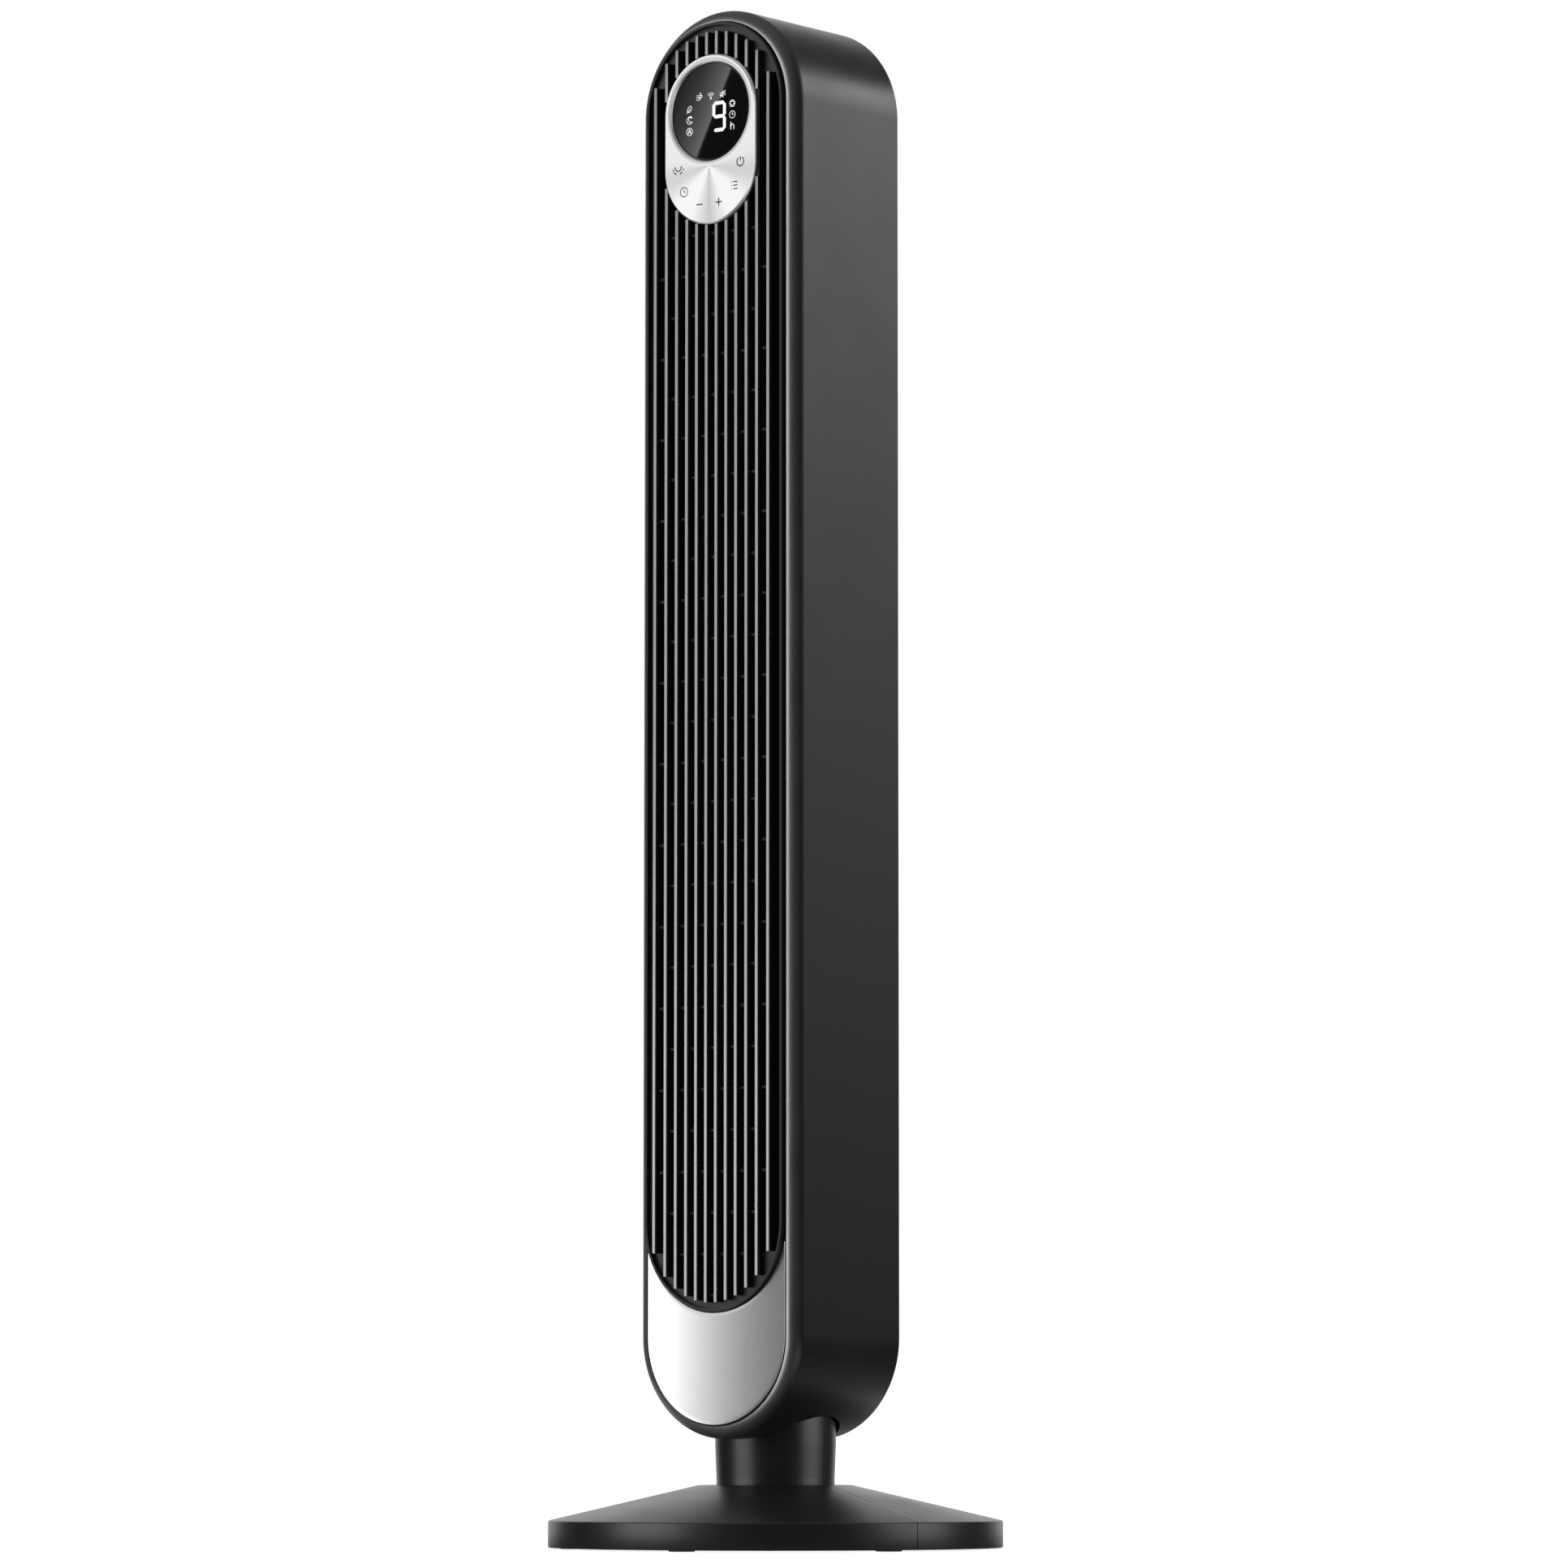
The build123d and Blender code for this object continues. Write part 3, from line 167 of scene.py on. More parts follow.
def stadium(radius, low_z, high_z, steps=ARC_STEPS):
    """Closed stadium outline: a half circle about each height. One height gives a circle."""
    if high_z - low_z < 1e-9:
        return arc(radius, 0, 360, 2 * steps, (0, high_z))[:-1]
    return arc(radius, 0, 180, steps, (0, high_z)) + arc(radius, 180, 360, steps, (0, low_z))


def add_loop(bm, points, y):
    """Closed loop of vertices at one depth."""
    return [bm.verts.new((x, y, z)) for x, z in points]


def bridge(bm, first, second):
    """Quads between two closed loops of the same length."""
    count = len(first)
    for i in range(count):
        j = (i + 1) % count
        bm.faces.new((first[i], first[j], second[j], second[i]))


def fill(bm, *loops):
    """Flat face set between one outer loop and any inner loops."""
    edges = []
    for loop in loops:
        for i, vert in enumerate(loop):
            other = loop[(i + 1) % len(loop)]
            edges.append(bm.edges.get((vert, other)) or bm.edges.new((vert, other)))
    bmesh.ops.triangle_fill(bm, use_beauty=True, edges=edges)


def swept_ring(bm, profile, low_z, high_z):
    """Closed ring: a closed profile of (radius, depth) carried round a stadium."""
    loops = [add_loop(bm, stadium(radius, low_z, high_z), y) for radius, y in profile]
    for i, loop in enumerate(loops):
        bridge(bm, loop, loops[(i + 1) % len(loops)])


def add_prism(bm, outline, y_front, y_back):
    """Solid prism between two depths, from a convex outline."""
    front = add_loop(bm, outline, y_front)
    back = add_loop(bm, outline, y_back)
    bridge(bm, front, back)
    bm.faces.new(front)
    bm.faces.new(back[::-1])


def add_stroke(bm, points, width, y_front, y_back, closed=False):
    """Raised line of constant width along points, with mitred corners."""
    count = len(points)
    rows = []
    for i, point in enumerate(points):
        here = Vector(point)
        before = Vector(points[i - 1]) if i > 0 or closed else None
        after = Vector(points[(i + 1) % count]) if i < count - 1 or closed else None
        into = (here - before).normalized() if before else (after - here).normalized()
        out = (after - here).normalized() if after else into
        mean = (into + out).normalized()
        side = Vector((-mean.y, mean.x)) * (width / 2 / max(mean.dot(into), 0.4))
        left, right = here + side, here - side
        rows.append([
            bm.verts.new((left.x, y_front, left.y)), bm.verts.new((right.x, y_front, right.y)),
            bm.verts.new((right.x, y_back, right.y)), bm.verts.new((left.x, y_back, left.y)),
        ])
    pairs = zip(rows, rows[1:] + rows[:1]) if closed else zip(rows[:-1], rows[1:])
    for row, other in pairs:
        for k in range(4):
            n = (k + 1) % 4
            bm.faces.new((row[k], row[n], other[n], other[k]))
    if not closed:
        bm.faces.new(rows[0][::-1])
        bm.faces.new(rows[-1])


# ---------------------------------------------------------------- material helpers
def new_material(name):
    """Material with a Principled shader; returns material, nodes, links and the shader."""
    material = bpy.data.materials.new(name)
    material.use_nodes = True
    nodes, links = material.node_tree.nodes, material.node_tree.links
    return material, nodes, links, nodes["Principled BSDF"]


def object_noise(nodes, links, scale, detail=2.0, stretch=(1, 1, 1)):
    """Noise texture in object space, in features per metre."""
    coords = nodes.new("ShaderNodeTexCoord")
    mapping = nodes.new("ShaderNodeMapping")
    mapping.inputs["Scale"].default_value = stretch
    noise = nodes.new("ShaderNodeTexNoise")
    noise.inputs["Scale"].default_value = scale
    noise.inputs["Detail"].default_value = detail
    links.new(coords.outputs["Object"], mapping.inputs["Vector"])
    links.new(mapping.outputs["Vector"], noise.inputs["Vector"])
    return noise


def ramp(nodes, links, source, stops):
    """Colour ramp of grey or coloured stops: [(position, value or colour), ...]."""
    node = nodes.new("ShaderNodeValToRGB")
    elements = node.color_ramp.elements
    while len(elements) < len(stops):
        elements.new(0.5)
    for element, (position, value) in zip(elements, stops):
        element.position = position
        colour = (value, value, value) if isinstance(value, (int, float)) else value
        element.color = (*colour, 1.0)
    links.new(source, node.inputs["Fac"])
    return node.outputs["Color"]


def add_bump(nodes, links, shader, height, depth):
    """Bump of a given depth in metres."""
    bump = nodes.new("ShaderNodeBump")
    bump.inputs["Strength"].default_value = 1.0
    bump.inputs["Distance"].default_value = depth
    links.new(height, bump.inputs["Height"])
    links.new(bump.outputs["Normal"], shader.inputs["Normal"])


def moulded(name, colour, rough=(0.34, 0.44), grain=1500.0, grain_depth=0.02 * MM, spread=0.12):
    """Moulded plastic: fine spark texture, slow changes of gloss and tone."""
    material, nodes, links, shader = new_material(name)
    fine = object_noise(nodes, links, grain, 3.0)
    broad = object_noise(nodes, links, 18.0, 4.0)
    links.new(ramp(nodes, links, broad.outputs["Fac"], [(0.3, rough[0]), (0.7, rough[1])]),
              shader.inputs["Roughness"])
    dark = tuple(c * (1 - spread) for c in colour)
    light = tuple(c * (1 + spread) for c in colour)
    links.new(ramp(nodes, links, broad.outputs["Fac"], [(0.3, dark), (0.7, light)]),
              shader.inputs["Base Color"])
    add_bump(nodes, links, shader, fine.outputs["Fac"], grain_depth)
    return material


def metal(name, colour, rough=(0.25, 0.35), stretch=(1, 1, 1), scale=900.0, depth=0.006 * MM,
          spread=0.08):
    """Metal or metallic paint with fine lines or flakes along the stretched axis."""
    material, nodes, links, shader = new_material(name)
    shader.inputs["Metallic"].default_value = 1.0
    fine = object_noise(nodes, links, scale, 2.0, stretch)
    links.new(ramp(nodes, links, fine.outputs["Fac"], [(0.3, rough[0]), (0.7, rough[1])]),
              shader.inputs["Roughness"])
    dark = tuple(c * (1 - spread) for c in colour)
    light = tuple(min(c * (1 + spread), 1.0) for c in colour)
    links.new(ramp(nodes, links, fine.outputs["Fac"], [(0.35, dark), (0.65, light)]),
              shader.inputs["Base Color"])
    add_bump(nodes, links, shader, fine.outputs["Fac"], depth)
    return material


def math_node(nodes, links, operation, first, second=None):
    """Math node on sockets or numbers; returns its output."""
    node = nodes.new("ShaderNodeMath")
    node.operation = operation
    for socket, value in zip(node.inputs, (first, second)):
        if value is None:
            continue
        if isinstance(value, (int, float)):
            socket.default_value = value
        else:
            links.new(value, socket)
    return node.outputs[0]


def spun_silver(name):
    """Brushed plate: a radial sheen painted into the base colour as a painted reflection, and fine
    turned lines about the plate's lower centre.
    """
    material, nodes, links, shader = new_material(name)
    shader.inputs["Metallic"].default_value = 1.0
    coords = nodes.new("ShaderNodeTexCoord")
    split = nodes.new("ShaderNodeSeparateXYZ")
    links.new(coords.outputs["Object"], split.inputs[0])
    across = split.outputs["X"]
    up = math_node(nodes, links, "SUBTRACT", split.outputs["Z"], PLATE_LOW_Z)
    down = math_node(nodes, links, "MULTIPLY", up, -1.0)
    angle = math_node(nodes, links, "ARCTAN2", across, down)
    from_down = math_node(nodes, links, "ABSOLUTE", angle)
    turn = math_node(nodes, links, "DIVIDE", from_down, math.pi)
    # Painted reflection: the plate's bright and dark conic highlight bands are painted into the
    # base colour by angle about the lower centre.
    sheen = ramp(nodes, links, turn, [
        (0.0, 0.60), (0.035, 0.70), (0.14, 0.97), (0.28, 0.97), (0.40, 0.70), (0.45, 0.68),
        (0.56, 0.86), (0.80, 0.90), (1.0, 0.86),
    ])
    squares = math_node(nodes, links, "ADD", math_node(nodes, links, "MULTIPLY", across, across),
                        math_node(nodes, links, "MULTIPLY", up, up))
    radius = math_node(nodes, links, "SQRT", squares)
    rings = nodes.new("ShaderNodeTexNoise")
    rings.noise_dimensions = "1D"
    rings.inputs["Scale"].default_value = 2600.0
    rings.inputs["Detail"].default_value = 3.0
    links.new(radius, rings.inputs["W"])
    tone = nodes.new("ShaderNodeMix")
    tone.data_type = "RGBA"
    tone.blend_type = "MULTIPLY"
    tone.inputs["Factor"].default_value = 1.0
    links.new(sheen, tone.inputs["A"])
    links.new(ramp(nodes, links, rings.outputs["Fac"], [(0.3, 0.92), (0.7, 1.0)]), tone.inputs["B"])
    links.new(tone.outputs["Result"], shader.inputs["Base Color"])
    links.new(ramp(nodes, links, rings.outputs["Fac"], [(0.3, 0.30), (0.7, 0.40)]),
              shader.inputs["Roughness"])
    add_bump(nodes, links, shader, rings.outputs["Fac"], 0.004 * MM)
    return material


def display_black(name):
    """Smoked, polished window with faint smudges in its gloss."""
    material, nodes, links, shader = new_material(name)
    shader.inputs["Coat Weight"].default_value = 0.8
    shader.inputs["Coat Roughness"].default_value = 0.02
    smudge = object_noise(nodes, links, 60.0, 4.0)
    links.new(ramp(nodes, links, smudge.outputs["Fac"], [(0.3, 0.02), (0.7, 0.035)]),
              shader.inputs["Roughness"])
    links.new(ramp(nodes, links, smudge.outputs["Fac"], [(0.3, 0.0035), (0.7, 0.0050)]),
              shader.inputs["Base Color"])
    return material


def lit(name, colour, strength):
    """Lit display: a bright digit, dimmer signs round it and a slightly uneven glow."""
    material, nodes, links, shader = new_material(name)
    shader.inputs["Base Color"].default_value = (*colour, 1.0)
    shader.inputs["Roughness"].default_value = 0.5
    coords = nodes.new("ShaderNodeTexCoord")
    split = nodes.new("ShaderNodeSeparateXYZ")
    links.new(coords.outputs["Object"], split.inputs[0])
    offset = math_node(nodes, links, "SUBTRACT", split.outputs["X"], DIGIT_X)
    aside = math_node(nodes, links, "ABSOLUTE", offset)
    beside = math_node(nodes, links, "LESS_THAN", aside, DIGIT_HALF_WIDTH)
    under = math_node(nodes, links, "LESS_THAN", split.outputs["Z"], DIGIT_TOP_Z)
    digit = math_node(nodes, links, "MULTIPLY", beside, under)
    extra = math_node(nodes, links, "MULTIPLY", digit, 1.0 - SIGN_GLOW)
    level = math_node(nodes, links, "ADD", extra, SIGN_GLOW)
    shader.inputs["Emission Strength"].default_value = strength
    glow = object_noise(nodes, links, 900.0)
    shade = nodes.new("ShaderNodeMix")
    shade.data_type = "RGBA"
    shade.blend_type = "MULTIPLY"
    shade.inputs["Factor"].default_value = 1.0
    uneven = [(0.2, tuple(c * 0.92 for c in colour)), (0.8, colour)]
    links.new(ramp(nodes, links, glow.outputs["Fac"], uneven), shade.inputs["A"])
    links.new(level, shade.inputs["B"])
    links.new(shade.outputs["Result"], shader.inputs["Emission Color"])
    return material


def banded(name, light, dark, pitch):
    """Stack of thin steel sheets, seen as bands along Z."""
    material, nodes, links, shader = new_material(name)
    shader.inputs["Metallic"].default_value = 0.8
    shader.inputs["Roughness"].default_value = 0.45
    coords = nodes.new("ShaderNodeTexCoord")
    wave = nodes.new("ShaderNodeTexWave")
    wave.bands_direction = "Z"
    wave.inputs["Scale"].default_value = 1.0 / (pitch * 3.2)
    wave.inputs["Distortion"].default_value = 0.3
    links.new(coords.outputs["Object"], wave.inputs["Vector"])
    links.new(ramp(nodes, links, wave.outputs["Fac"], [(0.2, dark), (0.8, light)]),
              shader.inputs["Base Color"])
    add_bump(nodes, links, shader, wave.outputs["Fac"], 0.05 * MM)
    return material


def circuit(name):
    """Green solder mask with paler tracks."""
    material, nodes, links, shader = new_material(name)
    shader.inputs["Roughness"].default_value = 0.3
    coords = nodes.new("ShaderNodeTexCoord")
    brick = nodes.new("ShaderNodeTexBrick")
    brick.inputs["Scale"].default_value = 120.0
    brick.inputs["Mortar Size"].default_value = 0.03
    brick.inputs["Color1"].default_value = (0.02, 0.11, 0.05, 1)
    brick.inputs["Color2"].default_value = (0.02, 0.13, 0.06, 1)
    brick.inputs["Mortar"].default_value = (0.06, 0.24, 0.10, 1)
    swap = nodes.new("ShaderNodeMapping")
    swap.inputs["Rotation"].default_value = (math.radians(90), 0, 0)
    links.new(coords.outputs["Object"], swap.inputs["Vector"])
    links.new(swap.outputs["Vector"], brick.inputs["Vector"])
    links.new(brick.outputs["Color"], shader.inputs["Base Color"])
    add_bump(nodes, links, shader, brick.outputs["Fac"], 0.03 * MM)
    return material


def woven_screen(name):
    """Fine black mesh: a square weave of thin wires."""
    material, nodes, links, shader = new_material(name)
    shader.inputs["Roughness"].default_value = 0.6
    coords = nodes.new("ShaderNodeTexCoord")
    weave = None
    for direction in ("X", "Z"):
        wave = nodes.new("ShaderNodeTexWave")
        wave.bands_direction = direction
        wave.inputs["Scale"].default_value = 220.0
        links.new(coords.outputs["Object"], wave.inputs["Vector"])
        weave = math_node(nodes, links, "MAXIMUM", wave.outputs["Fac"], weave or 0.0)
    links.new(ramp(nodes, links, weave, [(0.4, 0.002), (0.9, 0.014)]), shader.inputs["Base Color"])
    add_bump(nodes, links, shader, weave, 0.10 * MM)
    return material


MATERIALS = {
    "satin_black": moulded("satin_black", (0.015, 0.015, 0.0155), rough=(0.32, 0.38)),
    # grille_black is set a touch lighter than the casing's black: painted light that brightens the
    # shaded recess between the fins.
    "grille_black": moulded("grille_black", (0.022, 0.022, 0.023), rough=(0.36, 0.44)),
    "inner_black": moulded("inner_black", (0.010, 0.010, 0.010), rough=(0.5, 0.62), grain=900.0),
    "trim_silver": metal("trim_silver", (0.62, 0.62, 0.63), rough=(0.30, 0.38), scale=2600.0),
    "panel_silver": metal("panel_silver", (0.70, 0.70, 0.71), rough=(0.27, 0.33), scale=3200.0,
                          depth=0.005 * MM, spread=0.05),
    "screen_mesh": woven_screen("screen_mesh"),
    "rib_black": moulded("rib_black", (0.014, 0.014, 0.0145), rough=(0.5, 0.6)),
    "slat_silver": metal("slat_silver", (0.36, 0.36, 0.37), rough=(0.34, 0.42), scale=2600.0),
    "brushed_silver": spun_silver("brushed_silver"),
    "display_glass": display_black("display_glass"),
    "symbol_light": lit("symbol_light", (0.93, 0.97, 1.0), 1.6),
    "icon_print": moulded("icon_print", (0.05, 0.05, 0.055), rough=(0.45, 0.6), grain=3000.0),
    "circuit_board": circuit("circuit_board"),
    "component_dark": moulded("component_dark", (0.03, 0.03, 0.035), rough=(0.35, 0.5)),
    "zinc_steel": metal("zinc_steel", (0.60, 0.61, 0.64), rough=(0.28, 0.42), scale=700.0),
    "bright_steel": metal("bright_steel", (0.66, 0.66, 0.68), rough=(0.16, 0.28),
                          stretch=(1, 1, 12), scale=400.0),
    "bronze": metal("bronze", (0.50, 0.32, 0.14), rough=(0.35, 0.5), scale=1500.0),
    "laminated_core": banded("laminated_core", 0.34, 0.16, 0.5 * MM),
    "black_rubber": moulded("black_rubber", (0.018, 0.018, 0.018), rough=(0.65, 0.8), grain=2200.0,
                            grain_depth=0.04 * MM),
    "white_acetal": moulded("white_acetal", (0.72, 0.71, 0.67), rough=(0.32, 0.42), spread=0.04),
    "cast_ballast": moulded("cast_ballast", (0.12, 0.12, 0.13), rough=(0.5, 0.7), grain=500.0,
                            grain_depth=0.12 * MM),
}

# Every carried-over CAD node takes the material of its slot in the record.
for row in frame["record"]["subparts"]:
    node = frame["nodes"][row["node"]]
    node.data.materials.clear()
    node.data.materials.append(MATERIALS[row["material_slot"]])


# ---------------------------------------------------------------- head: trims and panels
def make_slat_strips():
    """Silver strips on the fins: chamfered front edges and sloped ends, cut by the plate."""
    bm = bmesh.new()
    half = SLAT_HALF_WIDTH
    gap_radius = PLATE_RADIUS + 0.15 * MM
    y_back, y_front = trims_high.y, trims_low.y
    chamfer = 0.30 * MM
    end_slope = 0.9 * MM
    for x in SLATS:
        reach = math.sqrt(SLAT_END_RADIUS**2 - x**2)
        spans = [(GRILLE_LOW_ARC_Z - reach, ARC_HIGH_Z + reach)]
        near = abs(x) - half
        if near < gap_radius:
            cut = math.sqrt(gap_radius**2 - near**2)
            spans = [(spans[0][0], PLATE_LOW_Z - cut), (PLATE_HIGH_Z + cut, spans[0][1])]
        for low_z, high_z in spans:
            back = [(x - half, low_z), (x + half, low_z), (x + half, high_z), (x - half, high_z)]
            inner = half - chamfer
            low_tip, high_tip = low_z + end_slope, high_z - end_slope
            front = [(x - inner, low_tip), (x + inner, low_tip),
                     (x + inner, high_tip), (x - inner, high_tip)]
            loops = [add_loop(bm, back, y_back), add_loop(bm, back, y_front + chamfer),
                     add_loop(bm, front, y_front)]
            bridge(bm, loops[0], loops[1])
            bridge(bm, loops[1], loops[2])
            bm.faces.new(loops[0][::-1])
            bm.faces.new(loops[2])
    finish_mesh("slat_strips", bm, MATERIALS["slat_silver"], "head", ["slat_trims"],
                sharp=20)


def make_grille_rim():
    """Rounded bead along the front edge of the grille's rim."""
    bm = bmesh.new()
    outer = GRILLE_RADIUS + 0.05 * MM
    inner = GRILLE_RADIUS - 1.85 * MM
    middle = (outer + inner) / 2
    half = (outer - inner) / 2
    front = GRILLE_RIM_Y - 0.15 * MM
    back = front + 2.2 * MM
    flatness = 0.8
    steps = 6
    profile = [(outer, back)]
    for step in range(steps + 1):
        angle = math.radians(180 * step / steps)
        depth = half * (1 - math.sin(angle)) * flatness
        profile.append((middle + half * math.cos(angle), front + depth))
    profile.append((inner, back))
    swept_ring(bm, profile, GRILLE_LOW_ARC_Z, ARC_HIGH_Z)
    finish_mesh("grille_rim_bead", bm, MATERIALS["satin_black"], "head", (), 40)


def make_lower_panel():
    """Silver panel under the grille: crowned from side to side, with a rounded border and horns."""
    bm = bmesh.new()
    side = PANEL_RADIUS - PANEL_BORDER
    cut = GRILLE_RADIUS + PANEL_GAP + PANEL_BORDER
    columns, rows = 120, 24

    def front_y(x):
        return panel_low.y + PANEL_CROWN * (x / PANEL_RADIUS) ** 2

    grid = []
    for i in range(columns + 1):
        x = side * math.sin(math.pi / 2 * (2 * i / columns - 1))
        low = PANEL_ARC_Z - math.sqrt(max(side**2 - x**2, 0))
        high = GRILLE_LOW_ARC_Z - math.sqrt(cut**2 - x**2)
        grid.append([bm.verts.new((x, front_y(x), low + (high - low) * j / rows))
                     for j in range(rows + 1)])
    for i in range(columns):
        for j in range(rows):
            bm.faces.new((grid[i][j], grid[i + 1][j], grid[i + 1][j + 1], grid[i][j + 1]))
    outline = [(grid[i][0], "low") for i in range(columns + 1)]
    outline += [(grid[columns][j], "side") for j in range(1, rows)]
    outline += [(grid[i][rows], "high") for i in range(columns, -1, -1)]
    outline += [(grid[0][j], "side") for j in range(rows - 1, 0, -1)]
    steps = 4
    loops = [[vert for vert, _ in outline]]
    for step in range(1, steps + 1):
        turn = math.pi / 2 * step / steps
        out = PANEL_BORDER * math.sin(turn)
        back = PANEL_BORDER * (1 - math.cos(turn))
        loop = []
        for vert, part in outline:
            x, z = vert.co.x, vert.co.z
            if part == "low":
                scale = (side + out) / side
                x, z = x * scale, PANEL_ARC_Z + (z - PANEL_ARC_Z) * scale
            elif part == "high":
                scale = (cut - out) / cut
                x, z = x * scale, GRILLE_LOW_ARC_Z + (z - GRILLE_LOW_ARC_Z) * scale
                if abs(vert.co.x) > side * 0.9999:
                    x = math.copysign(side + out, x)
            else:
                x += math.copysign(out, x)
            loop.append(bm.verts.new((x, vert.co.y + back, z)))
        loops.append(loop)
    for first, second in zip(loops[:-1], loops[1:]):
        bridge(bm, first, second)
    back_loop = [bm.verts.new((v.co.x, panel_high.y, v.co.z)) for v in loops[-1]]
    bridge(bm, loops[-1], back_loop)
    fill(bm, back_loop)
    finish_mesh("lower_panel_skin", bm, MATERIALS["panel_silver"], "head", ["lower_panel"],
                sharp=50)


def make_grille_ribs():
    """Short staggered ribs between the fins, set a little behind the silver strips."""
    bm = bmesh.new()
    front, back = RIB_Y
    half = RIB_HALF_HEIGHT
    inner = half - RIB_LIP
    for gap, (left, right) in enumerate(zip(SLATS[:-1], SLATS[1:])):
        reach = math.sqrt(SLAT_END_RADIUS**2 - max(abs(left), abs(right))**2)
        floor_z = GRILLE_LOW_ARC_Z - reach + 2 * half
        for row in range(RIB_ROWS):
            z = RIB_TOP_ROWS[gap % 2] - row * RIB_PITCH
            if z < floor_z:
                continue
            edge = [(left, z - half), (right, z - half), (right, z + half), (left, z + half)]
            face = [(left, z - inner), (right, z - inner), (right, z + inner), (left, z + inner)]
            loops = [add_loop(bm, edge, back), add_loop(bm, edge, front + RIB_LIP),
                     add_loop(bm, face, front)]
            bridge(bm, loops[0], loops[1])
            bridge(bm, loops[1], loops[2])
            bm.faces.new(loops[0][::-1])
            bm.faces.new(loops[2])
    finish_mesh("grille_ribs", bm, MATERIALS["rib_black"], "head", (), 20)


def make_inlet_screen():
    """Dark dust screen just inside the rear intake slots."""
    bm = bmesh.new()
    low_z, high_z = SCREEN_Z
    outline = [(-SCREEN_X, low_z), (SCREEN_X, low_z), (SCREEN_X, high_z), (-SCREEN_X, high_z)]
    add_prism(bm, outline, *SCREEN_Y)
    finish_mesh("inlet_screen", bm, MATERIALS["screen_mesh"], "head", (), 30)


def add_peg(bm, centre, radius, start, end, axis="Y", steps=20):
    """Small closed post along Y or Z, such as a screw boss."""
    loops = []
    for level in (start, end):
        loop = []
        for a, b in arc(radius, 0, 360, steps, centre)[:-1]:
            loop.append(bm.verts.new((a, level, b) if axis == "Y" else (a, b, level)))
        loops.append(loop)
    bridge(bm, loops[0], loops[1])
    bm.faces.new(loops[0])
    bm.faces.new(loops[1][::-1])


def shell_profile():
    """Section of the casing's wall as (radius, depth), from the lip round to the cavity."""
    outer = HEAD_RADIUS
    inner = outer - SHELL_WALL
    front, rear = shell_low.y, shell_high.y
    lip_back = front + SHELL_WALL
    centre = outer - SHELL_FILLET
    profile = [(SHELL_LIP_RADIUS, lip_back),
               (SHELL_LIP_RADIUS, front + 0.06 * MM + SHELL_EDGE_EASE)]
    start = math.degrees(math.asin((SHELL_LIP_RADIUS + SHELL_EDGE_EASE - centre) / SHELL_FILLET))
    fillet_steps = 18
    for i in range(fillet_steps + 1):
        angle = math.radians(start + (90 - start) * i / fillet_steps)
        profile.append((centre + SHELL_FILLET * math.sin(angle),
                        front + SHELL_FILLET - SHELL_FILLET * math.cos(angle)))
    profile += [(outer, front + SHELL_FILLET + 0.6 * MM), (outer, -SHELL_BAND_Y),
                (outer, SHELL_BAND_Y), (outer, rear - 1.2 * MM), (outer, rear - 0.5 * MM),
                (outer - 0.15 * MM, rear - 0.15 * MM), (outer - 0.5 * MM, rear),
                (inner + 0.3 * MM, rear), (inner, rear - 0.3 * MM),
                (inner, SHELL_BAND_Y), (inner, -SHELL_BAND_Y)]
    cavity_steps = 6
    for i in range(cavity_steps + 1):
        angle = math.radians(90 * i / cavity_steps)
        profile.append((inner - CAVITY_FILLET + CAVITY_FILLET * math.cos(angle),
                        lip_back + CAVITY_FILLET - CAVITY_FILLET * math.sin(angle)))
    return profile


def cut_neck_hole(piece):
    """Bore the neck's round hole up through the underside of the casing."""
    bm = bmesh.new()
    add_peg(bm, (0, 0), NECK_HOLE_RADIUS, *NECK_HOLE_Z, "Z", 160)
    bmesh.ops.recalc_face_normals(bm, faces=bm.faces)
    cutter_mesh = bpy.data.meshes.new("neck_hole_cutter")
    bm.to_mesh(cutter_mesh)
    bm.free()
    cutter = bpy.data.objects.new("neck_hole_cutter", cutter_mesh)
    bpy.context.scene.collection.objects.link(cutter)
    cut = piece.modifiers.new("neck_hole", "BOOLEAN")
    cut.operation = "DIFFERENCE"
    cut.solver = "EXACT"
    cut.object = cutter
    bpy.context.view_layer.update()
    evaluated = piece.evaluated_get(bpy.context.evaluated_depsgraph_get())
    shape = bpy.data.meshes.new_from_object(evaluated)
    piece.modifiers.clear()
    old = piece.data
    piece.data = shape
    shape.name = piece.name
    bpy.data.meshes.remove(old)
    bpy.data.objects.remove(cutter)
    for polygon in shape.polygons:
        polygon.use_smooth = True
    shape.set_sharp_from_angle(angle=math.radians(SMOOTH_ANGLE))


def make_shell():
    """Outer casing: a stadium tube with a rounded front edge, an inward lip and the neck's hole."""
    bm = bmesh.new()
    loops = []
    for radius, y in shell_profile():
        loops.append(add_loop(bm, stadium(radius, PANEL_ARC_Z, ARC_HIGH_Z, 96), y))
    for i, loop in enumerate(loops):
        bridge(bm, loop, loops[(i + 1) % len(loops)])
    for side in (-1, 1):
        for z in REAR_BOSS_HEIGHTS:
            add_peg(bm, (side * REAR_BOSS_REACH, z), REAR_BOSS_RADIUS, *REAR_BOSS_Y)
        for y in SWIVEL_BOSS_DEPTHS:
            add_peg(bm, (side * SWIVEL_BOSS_X, y), SWIVEL_BOSS_RADIUS, *SWIVEL_BOSS_Z, "Z")
    add_peg(bm, (0, ARC_HIGH_Z + REAR_BOSS_REACH), REAR_BOSS_RADIUS, *REAR_BOSS_Y)
    piece = finish_mesh("shell_skin", bm, MATERIALS["satin_black"], "head", ["main_shell"],
                        sharp=SMOOTH_ANGLE)
    cut_neck_hole(piece)


